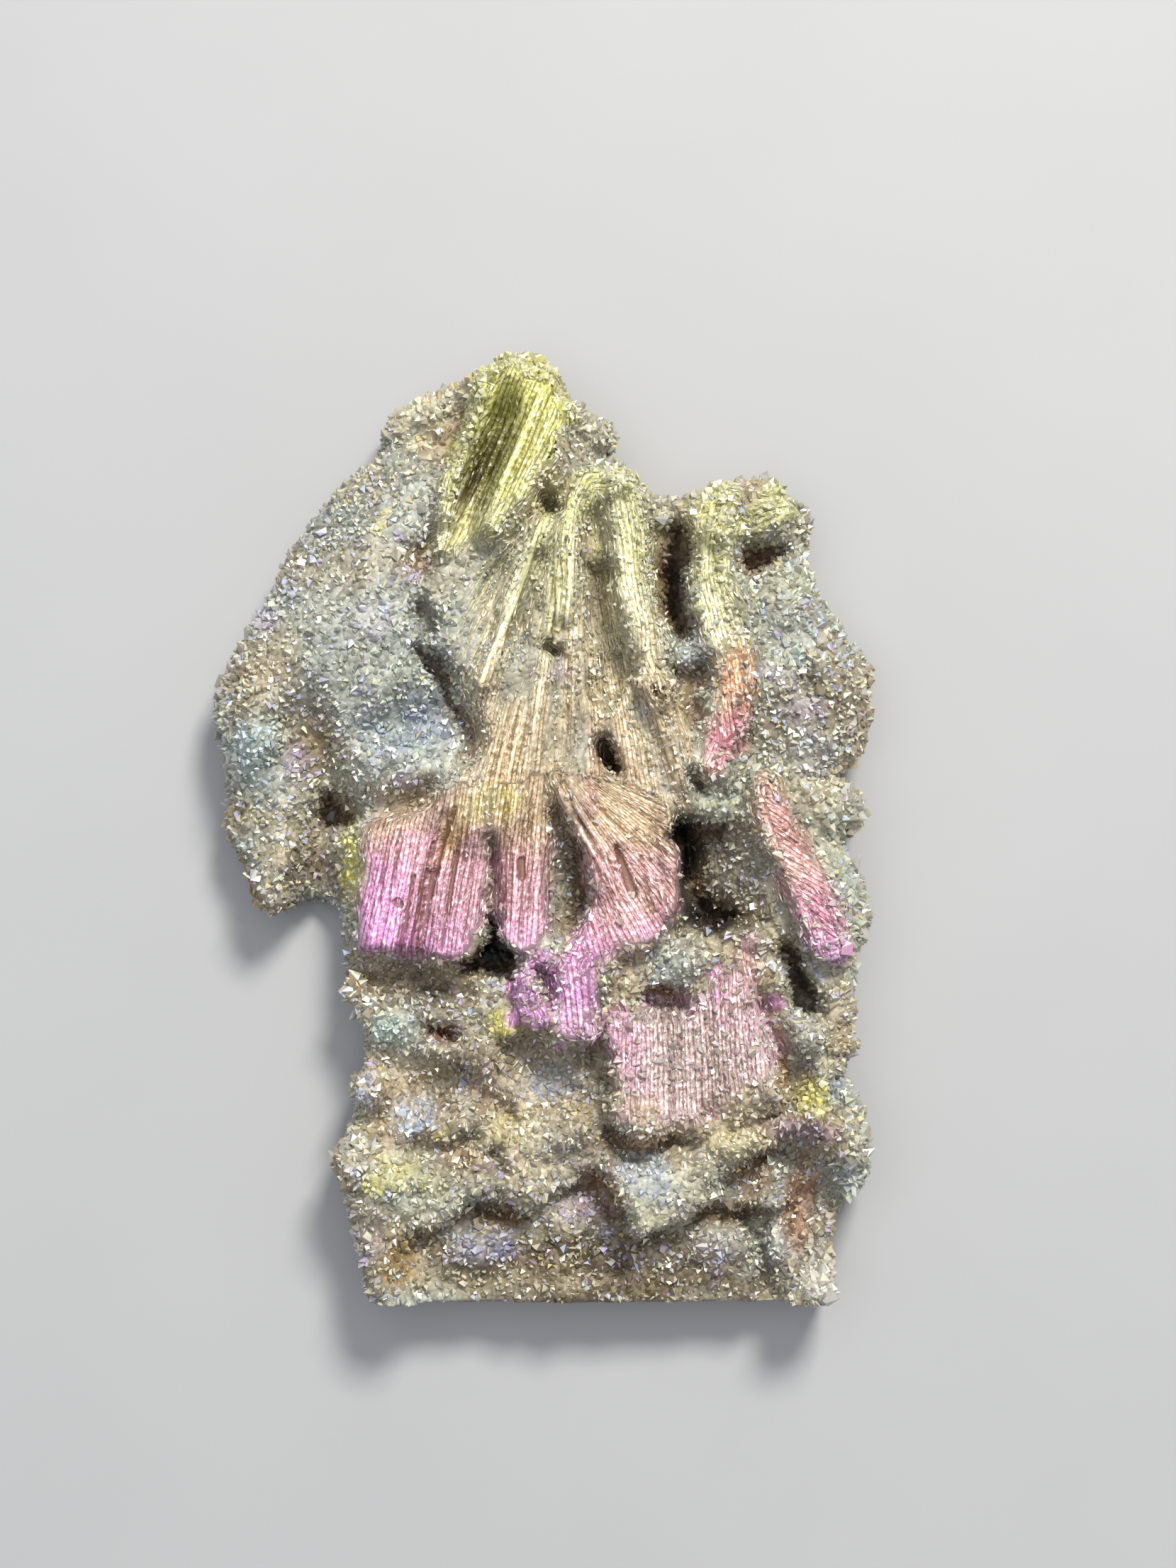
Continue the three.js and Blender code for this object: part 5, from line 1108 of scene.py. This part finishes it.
# How much of a turn of the wave 1 mm takes, in radians, for lines 0.52 mm apart, and how far they drift.
LINE_RATE = 12.1
LINE_DRIFT = 14.0
FILM_DARK, FILM_LIGHT, FILM_GLEAM = (0.30, 0.26, 0.18), (1.04, 1.06, 1.04), (0.92, 0.84, 0.80)
CRUST_SCALE = 1500
CRUST_DARK, CRUST_LIGHT = (0.6, 0.58, 0.55), (1.2, 1.2, 1.2)

druse_skin, tree, shader = material("druse_skin")
place = tree.node("ShaderNodeTexCoord", output="Object")
stone = attribute(tree, "stone", "Color")
film_rgb = attribute(tree, "film", "Color")
cover = attribute(tree, "film", "Alpha")
flow = attribute(tree, "flow", "Vector")
relief = attribute(tree, "lines", "Fac")
# Thin dark lines run along the flow, in and out of strength, over a ground that is lighter and darker in
# short dashes. The lines' relief is painted too, the sunken parts darker as shade and the raised lighter, and
# some dashes carry a painted gleam, a highlight.
side = tree.node("ShaderNodeSeparateXYZ", None, {0: flow}, output="X")
drift = noise(tree, scaled(tree, flow, (0.5, 0.1, 1)), 1.0, 1.0)
wave = side.maths("SINE", side * LINE_RATE + drift * LINE_DRIFT)
dashes = noise(tree, scaled(tree, flow, (2.6, 1.5, 1)), 1.0, 2.0)
gaps = (wave * -2.4 - 1.2).clamped()
tone = ((dashes - 0.5) * 2.4 + relief * 0.44 - gaps * 0.55 + 0.84).clamped()
film_shade = tone.blend(film_rgb.tinted(FILM_DARK), film_rgb.tinted(FILM_LIGHT))
gleam = (dashes * 9 + wave * 0.5 + relief * 0.5 - 5.4).clamped()
film_seen = gleam.blend(film_shade, FILM_GLEAM)
# The stone between the grains is itself a crust of grains, each lighter or darker.
crust, crust_tone = (
    tree.node("ShaderNodeTexVoronoi", None, {"Vector": place, "Scale": CRUST_SCALE}, output=output)
    for output in ("Distance", "Color"))
stone_seen = (crust_tone * 1.5 - crust * 0.5).clamped().blend(CRUST_DARK, CRUST_LIGHT).tinted(stone)
height = (1 - crust) + (tone * 1.2 - (1 - crust)) * cover
bump = tree.node("ShaderNodeBump", None, {"Strength": 0.7, "Distance": 0.00025, "Height": height})
plug(tree, shader, Base_Color=cover.blend(stone_seen, film_seen), Metallic=cover * 0.12,
     Roughness=0.5 - 0.1 * cover, Normal=bump, Specular_IOR_Level=0.6)

# The sawn rock is brown and grey in rings and flecks, with the fine lines of the saw along Y.
SAWN_BROWN, SAWN_GREY, SAWN_FLECK = (0.19, 0.15, 0.11), (0.36, 0.33, 0.28), (0.46, 0.44, 0.40)
sawn_stone, tree, shader = material("sawn_stone")
place = tree.node("ShaderNodeTexCoord", output="Object")
clouds = noise(tree, place, 60, 3.0)
ring_sockets = {"Vector": place, "Scale": 55, "Distortion": 9, "Detail": 3}
rings = tree.node("ShaderNodeTexWave", {"wave_type": "RINGS"}, ring_sockets)
mottle = noise(tree, place, 420, 4.0)
sawn_colour = (rings * 0.6 + clouds * 0.5).clamped().blend(SAWN_BROWN, SAWN_GREY)
sawn_colour = (mottle * 1.6 - 0.4).clamped().blend(sawn_colour, SAWN_FLECK)
saw_sockets = {"Vector": place, "Scale": 900, "Distortion": 1.5}
saw_lines = tree.node("ShaderNodeTexWave", {"bands_direction": "X"}, saw_sockets)
bump_sockets = {"Strength": 0.25, "Distance": 0.00005, "Height": saw_lines + mottle}
sawn_bump = tree.node("ShaderNodeBump", None, bump_sockets)
plug(tree, shader, Base_Color=sawn_colour, Roughness=0.45 + 0.25 * mottle, Normal=sawn_bump)

skin.data.materials.append(druse_skin)
skin.data.materials.append(sawn_stone)
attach(skin, "root")
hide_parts("slab")

# ---- The quartz grains ----
# The druse is a crust of short six-sided quartz crystals, most of them 0.6 to 1.2 mm across, which stand off
# the rock and on the plates are thin blades laid along the lines. A film of metal, thinner than light's own
# waves, tints them; the faces turned to the window light are painted as flashes of cream, blue, lilac and
# gold, painted glints that stand for its reflections.
GRAIN_WIDTH = 0.82
GRAIN_SPREAD = 0.22
GRAIN_LEAN = 0.4
GRAIN_TALL, GRAIN_DEEP = 0.6, 0.55
ROOT_STRAY = 0.2
GRAIN_SUNK, BLADE_SUNK = 0.22, 0.12
BLADE_WIDTH, BLADE_SPREAD = 0.26, 0.25
BLADE_LENGTH, LENGTH_SPREAD = 1.0, 0.3
BLADE_STRAY = 0.07
# How unlike a grain's six corners are: their turn in radians, their reach, and their height and the tip's
# shift as shares of the width.
RING_TURN, RING_REACH, RING_SLOPE = 0.14, (0.76, 1.24), 0.2
TIP_STRAY = 0.24
# How much larger the grains are on the rims and in clouds, and how much smaller in the fan.
RIM_GROWTH, CLOUD_GROWTH, FAN_SHRINK = 0.4, 0.22, 0.3

# The chance that a grain grows at a point of the skin's net, and the share of the grains that are blades: on
# the open druse, in the fan, on each plate and on the ribs.
GRAIN_SHARE = 0.68
FAN_GRAINS, FAN_BLADES = 0.7, 0.4
PLATE_GRAINS = [0.10, 0.17, 0.34, 0.73, 0.43, 0.10, 0.75, 0.45, 0.73]
PLATE_BLADES = [1, 1, 0.8, 0.5, 0.7, 1, 0.35, 0.35, 0.3]
RIB_GRAINS, RIB_BLADES = 0.85, 0.2
# How bare single lines and black pockets stay, and how far none grows from the sawn back and foot.
LINE_BARE, POCKET_BARE = 0.9, 0.85
BACK_MARGIN, FOOT_MARGIN = 0.25, 0.2

# The hues of the painted glints, how often each is used on the floor of the druse, and how often in five
# zones, given as x, y, radius along, radius across and turn.
GLINTS = [linear(hue) for hue in ("#f0e6c6", "#e0e8c8", "#f2f2ec", "#bccbee", "#c4aee2", "#ead282")]
GLINT_CHANCES = [0.36, 0.20, 0.20, 0.13, 0.07, 0.04]
GLINT_ZONES = [
    ((-24, 16, 26, 22, 60), (0.16, 0.34, 0.24, 0.18, 0.07, 0.01)),
    ((-6, 46, 22, 12, 20), (0.42, 0.16, 0.20, 0.03, 0.02, 0.17)),
    ((2, 18, 20, 18, 0), (0.44, 0.08, 0.12, 0.04, 0.05, 0.27)),
    ((28, 20, 14, 26, 90), (0.26, 0.26, 0.24, 0.14, 0.08, 0.02)),
    ((6, -50, 30, 8, 0), (0.40, 0.12, 0.16, 0.12, 0.15, 0.05)),
]
# The faces that look most nearly this way, half between the window light and the camera, are painted as
# glints: the share of them that flash, the share painted only pale, as a weaker highlight, and how pale. Each
# starts at a cosine of the angle to that way, and is full a little above it.
GLINT_LIGHT_WAY = np.array([0.16, 0.40, 0.90])
GLINT_SHARE = 0.55
PALE_SHARE = 0.9
PALE = 0.56
FLASH_TURN, PALE_TURN = (0.8, 0.16), (0.6, 0.25)
# The film colours the stone and the painted flashes of a grain, and has missed some grains. The rims and the
# lower block get fewer painted flashes.
FILM_TINT, FILM_FLASH = 0.8, 0.85
FILM_MISSED, MISSED_STRENGTH = 0.33, 0.35
RIM_DULL = 0.7
LOW_DULL = 0.45
# How much lighter or darker single grains and single faces are.
GRAIN_TONES, FACE_TONES = (0.84, 1.06), (0.78, 1.0)
BAND_STARTS = [("foot", -60), ("lower", -36), ("middle", -12), ("upper", 10), ("peak", 28), (None, 60)]
random = np.random.default_rng(7)


def unit(vectors):
    """Each vector made one long."""
    return vectors / np.linalg.norm(vectors, axis=1, keepdims=True)


def crystals(roots, axes, widths, tall, deep):
    """Six-sided crystals pointed at both ends. Ring point k = root + half width times (cos 60k side + sin 60k
    back), turned and lengthened a little at random. The tip is `tall` along the axis, moved well to one side
    so that the faces come out wide and narrow, and the foot is `deep` behind."""
    count = len(roots)
    side = unit(np.cross(axes, unit(random.normal(size=(count, 3)))))
    back = np.cross(axes, side)
    angles = np.radians(60) * np.arange(6) + random.uniform(0, math.pi, (count, 1))
    angles = angles + random.normal(0, RING_TURN, (count, 6))
    reach = widths[:, None] / 2 * random.uniform(*RING_REACH, (count, 6))
    slope = RING_SLOPE * widths[:, None] * random.normal(size=(count, 6))
    ring = (roots[:, None] + (reach * np.cos(angles))[..., None] * side[:, None]
            + (reach * np.sin(angles))[..., None] * back[:, None] + slope[..., None] * axes[:, None])
    stray = side * (TIP_STRAY * widths * random.normal(size=count))[:, None]
    tip = roots + axes * tall[:, None] + stray
    foot = roots - axes * deep[:, None]
    points = np.concatenate([ring, tip[:, None], foot[:, None]], axis=1)
    upper = [(k, (k + 1) % 6, 6) for k in range(6)]
    lower = [((k + 1) % 6, k, 7) for k in range(6)]
    faces = np.array(upper + lower) + 8 * np.arange(count)[:, None, None]
    return points.reshape(-1, 3), faces.reshape(-1, 3)


def run_of_lines(x, y):
    """The way that the lines run at each point: at right angles to the slope of the distance across them."""
    step = 0.05
    shares = plate_shares(x, y)
    slope_x = flows(x + step, y, shares)[0] - flows(x - step, y, shares)[0]
    slope_y = flows(x, y + step, shares)[0] - flows(x, y - step, shares)[0]
    return np.column_stack([-slope_y, slope_x, np.zeros(len(x))]) + (0, 1e-6, 0)


def for_nearest(shares, of_plates, of_ribs):
    """The number of whichever plate or rib each point lies on most."""
    return np.array(of_plates + [of_ribs] * len(RIBS))[np.argmax(shares, axis=0)]


# Where a grain stands: at a point of the skin's net, with the chance of that ground, but seldom on a single
# line or in a black pocket.
normals = point_normals(points, faces)
x, y, z = points.T
shares = plate_shares(x, y)
plate = np.max(shares, axis=0) * facing_up(normals)
fan = fan_share(x, y)
chance = mix(GRAIN_SHARE, FAN_GRAINS, fan)
chance = mix(chance, for_nearest(shares, PLATE_GRAINS, RIB_GRAINS), ease(1.5 * plate))
chance = chance * (1 - LINE_BARE * ease(np.abs(lone_lines(x, y)) / 0.2) * np.maximum(plate, fan))
for *shape, _, _ in PAINTED_SHADOW_POCKETS:
    chance = chance * (1 - POCKET_BARE * patch_share(x, y, shape))
chance[(z < BACK_MARGIN) | (y < FOOT_Y + FOOT_MARGIN)] = 0
grown = random.random(len(points)) < chance
roots, normals, fan = points[grown], normals[grown], fan[grown]

# How large each grain is. The rims lie within 4 mm of the outline, and over 5 mm up.
x, y, z = roots.T
rim = ease(1 + outline_distance(OUTLINE, x, y) / 4) * ease((z - 5) / 3)
widths = GRAIN_WIDTH * np.exp(GRAIN_SPREAD * random.normal(size=len(roots)))
growth = (1 + RIM_GROWTH * rim) * (1 - FAN_SHRINK * fan)
widths = widths * growth * (1 + CLOUD_GROWTH * lumps(x / 4, y / 4, 3.9))
axes = unit(normals + GRAIN_LEAN * random.normal(size=roots.shape))
tall, deep = GRAIN_TALL * widths, GRAIN_DEEP * widths
film_cover = film_share(x, y) * facing_up(normals)
roots = roots + ROOT_STRAY * random.normal(size=roots.shape)

# Where the film lies, many grains are thin blades laid down along its lines.
x, y = roots[:, :2].T
blade_share = for_nearest(plate_shares(x, y), PLATE_BLADES, RIB_BLADES) * ease((film_cover - 0.15) / 0.5)
blade = random.random(len(roots)) < np.maximum(blade_share, FAN_BLADES * fan)
run = run_of_lines(x, y)[blade]
run = unit(run - normals[blade] * np.sum(run * normals[blade], axis=1, keepdims=True))
widths[blade] = BLADE_WIDTH * np.exp(BLADE_SPREAD * random.normal(size=blade.sum()))
axes[blade] = unit(run + BLADE_STRAY * random.normal(size=(blade.sum(), 3)) + 0.05 * normals[blade])
tall[blade] = deep[blade] = BLADE_LENGTH / 2 * np.exp(LENGTH_SPREAD * random.normal(size=blade.sum()))
roots = roots - normals * (np.where(blade, BLADE_SUNK, GRAIN_SUNK) * widths)[:, None]

# What each grain is coloured by: its stone, its film, which has missed some grains, and the tone of its line:
# a blade is lighter on the raised part of the lines and darker on the sunken, a painted shade.
x, y = roots[:, :2].T
stone_here = stone_colour(roots)
film_here, film_strength = film_colour(roots, film_cover)
missed = ~blade & (random.random(len(roots)) < FILM_MISSED)
film_strength = film_strength * np.where(missed, MISSED_STRENGTH, 1.0)
line_tone = 1 + 0.22 * blade * striae(*flows(x, y, plate_shares(x, y)))
# Painted glints: the faces flash where they look up and the crust lies open, not in the depths, and in
# clouds, and less on the clear rims and the lower block.
clouds = ease(0.3 + 0.9 * lumps(x / 3.4, y / 3.4, 8.8) + 0.4 * lumps(x / 1.4, y / 1.4, 3.8))
open_sky = 1 - depth_at(roots)
bright = ease((normals[:, 2] - 0.1) / 0.7) * open_sky * (1 - RIM_DULL * rim) * (0.4 + 0.6 * clouds)
bright = bright * (1 - LOW_DULL * low_block(y))
bright = mix(bright, 1.5, 0.75 * film_strength * open_sky)


def chances(x, y):
    """How often each flash is seen at a point: the floor's chances, drawn towards those of the zones around
    it, times e to the power of 2.4 lumps 2.6 mm across, so that each hue comes in clusters."""
    weights = np.tile(GLINT_CHANCES, (len(x), 1))
    for zone, aims in GLINT_ZONES:
        weights = mix(weights, np.array(aims), patch_share(x, y, zone)[:, None])
    clusters = [lumps(x / 2.6, y / 2.6, 3.3 * n) for n in range(len(GLINTS))]
    weights = weights * np.exp(2.4 * np.stack(clusters, axis=1))
    return weights / weights.sum(axis=1, keepdims=True)


def grain_colours(picked, shape):
    """A colour for each face of each grain: its stone, lighter or darker by chance, or, where the face turns
    to the
    light, a painted highlight: a pale tint or a whole flash of the hue that reigns there, and as a fourth
    number how far the face flashes."""
    count = len(picked)
    a, b, c = shape[0][shape[1].T]
    facing = unit(np.cross(b - a, c - a)).reshape(count, 12, 3)
    limits = np.cumsum(chances(roots[picked, 0], roots[picked, 1]), axis=1)
    choice = (random.random((count, 12, 1)) > limits[:, None, :]).sum(axis=2).clip(0, len(GLINTS) - 1)
    tint = film_strength[picked, None, None]
    flash = mix(np.array(GLINTS)[choice], 0.7 * film_here[picked, None] + 0.3, FILM_FLASH * tint)
    body = mix(stone_here[picked, None], 0.8 * film_here[picked, None], FILM_TINT * tint)
    body = body * line_tone[picked, None, None] * random.uniform(*GRAIN_TONES, (count, 1, 1))
    body = body * random.uniform(*FACE_TONES, (count, 12, 1))
    turned = facing @ (GLINT_LIGHT_WAY / np.linalg.norm(GLINT_LIGHT_WAY))
    share = GLINT_SHARE * bright[picked, None] * ease((turned - FLASH_TURN[0]) / FLASH_TURN[1])
    pale_share = PALE_SHARE * (0.45 + 0.55 * bright[picked, None]) * open_sky[picked, None]
    pale = random.random((count, 12)) < pale_share * ease((turned - PALE_TURN[0]) / PALE_TURN[1])
    pale = PALE * (1 - 0.5 * tint[..., 0]) * pale
    flashing = random.random((count, 12)) < share
    flashing = np.where(flashing, random.uniform(0.6, 1.0, (count, 12)), pale)
    colour = mix(body, flash, flashing[..., None])
    return np.concatenate([colour, flashing[..., None]], axis=2).reshape(-1, 4)


quartz_grain, tree, shader = material("quartz_grain")
# Each face's colour, with its painted glints, and how far the face flashes.
coat_and_glints = attribute(tree, "coat_and_glints", "Color")
flashes = attribute(tree, "coat_and_glints", "Alpha")
plug(tree, shader, Base_Color=coat_and_glints, Metallic=0.05 + 0.2 * flashes, Roughness=0.36 - 0.12 * flashes,
     Specular_IOR_Level=0.6, Subsurface_Weight=0.4, Subsurface_Radius=(1.0, 0.9, 0.7),
     Subsurface_Scale=0.0008)

# The grains are five pieces, one above the other from the foot to the peak.
for (name, start), (_, end) in zip(BAND_STARTS, BAND_STARTS[1:]):
    picked = np.nonzero((roots[:, 1] >= start) & (roots[:, 1] < end))[0]
    shape = crystals(roots[picked], axes[picked], widths[picked], tall[picked], deep[picked])
    grains = mesh_object("grains_" + name, np.clip(shape[0], CAD_LOW, CAD_HIGH), shape[1])
    set_attribute(grains, "coat_and_glints", "FLOAT_COLOR", "FACE", grain_colours(picked, shape))
    grains.data.materials.append(quartz_grain)
    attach(grains, "root")

# ---- The clear points ----
# Larger, clearer quartz points, about 0.9 to 2 mm across, stand among the grains on the rims of the slab.
# They grew last, where the crust had room on its outer side, and carry little or no film.
CLEAR_COUNT = 260
CLEAR_SHARE = 0.35
CLEAR_WIDTH, CLEAR_SPREAD = 1.25, 0.25
CLEAR_LEAN = 0.2
CLEAR_TALL, CLEAR_DEEP = 0.75, 0.6
CLEAR_MILKY, CLEAR_BRIGHT = (0.50, 0.47, 0.42), (0.86, 0.85, 0.82)
spare = np.argsort(random.random(len(roots)))
wanted = random.random(len(roots)) < CLEAR_SHARE * rim * (film_strength < 0.3)
wanted = spare[wanted[spare]][:CLEAR_COUNT]
widths = CLEAR_WIDTH * np.exp(CLEAR_SPREAD * random.normal(size=len(wanted)))
lean = unit(axes[wanted] + CLEAR_LEAN * random.normal(size=(len(wanted), 3)))
shape = crystals(roots[wanted], lean, widths, CLEAR_TALL * widths, CLEAR_DEEP * widths)
clear = mesh_object("clear_points", np.clip(shape[0], CAD_LOW, CAD_HIGH), shape[1])
clear_quartz, tree, shader = material("clear_quartz")
cloud = noise(tree, tree.node("ShaderNodeTexCoord", output="Object"), 700, 3.0)
plug(tree, shader, Base_Color=(cloud * 1.5 - 0.25).clamped().blend(CLEAR_MILKY, CLEAR_BRIGHT),
     Roughness=0.12 + 0.2 * cloud, Transmission_Weight=0.55, IOR=1.54, Coat_Weight=0.4, Coat_Roughness=0.08)
clear.data.materials.append(clear_quartz)
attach(clear, "root")

# ---- The studio ----
# A plain pale floor just under the sawn back, a small strong light from the upper right, a wide soft one over
# the slab, and a camera that looks straight down on it.
FLOOR_REACH = 900
FLOOR_DROP = 0.05
FLOOR_DARK, FLOOR_LIGHT = (0.36, 0.36, 0.37), (0.39, 0.39, 0.4)
corners = [(x * FLOOR_REACH, y * FLOOR_REACH, -FLOOR_DROP) for x, y in ((-1, -1), (1, -1), (1, 1), (-1, 1))]
floor = mesh_object("floor", np.array(corners), np.array([[0, 1, 2, 3]]))
floor_paint, tree, shader = material("floor_paint")
cloud = noise(tree, tree.node("ShaderNodeTexCoord", output="Object"), 30, 3.0)
plug(tree, shader, Base_Color=cloud.blend(FLOOR_DARK, FLOOR_LIGHT), Roughness=0.6)
floor.data.materials.append(floor_paint)


def soft_light(name, at, size, power, colour):
    """A square light, in metres and watts, that faces the middle of the slab."""
    lamp = bpy.data.lights.new(name, "AREA")
    lamp.size = size
    lamp.energy = power
    lamp.color = colour
    light = bpy.data.objects.new(name, lamp)
    light.location = at
    light.rotation_euler = Vector(at).to_track_quat("Z", "Y").to_euler()
    bpy.context.scene.collection.objects.link(light)


soft_light("window", (0.24, 0.56, 0.80), 0.24, 13.0, (1.0, 0.98, 0.90))
soft_light("ceiling", (-0.15, 0.10, 1.10), 0.9, 5.0, (0.95, 0.97, 1.0))

SKY_COLOUR = (0.82, 0.86, 0.95, 1)
SKY_STRENGTH = 0.41
world = bpy.data.worlds.new("studio")
world.use_nodes = True
world.node_tree.nodes["Background"].inputs["Color"].default_value = SKY_COLOUR
world.node_tree.nodes["Background"].inputs["Strength"].default_value = SKY_STRENGTH
bpy.context.scene.world = world
bpy.context.scene.view_settings.view_transform = "Standard"

CAMERA_AT = (5.33, 5.33, 438.07)
LENS = 85
camera = bpy.data.objects.new("camera", bpy.data.cameras.new("camera"))
camera.data.lens = LENS
camera.data.sensor_width = 36
camera.location = np.array(CAMERA_AT) * MM
bpy.context.scene.collection.objects.link(camera)
bpy.context.scene.camera = camera
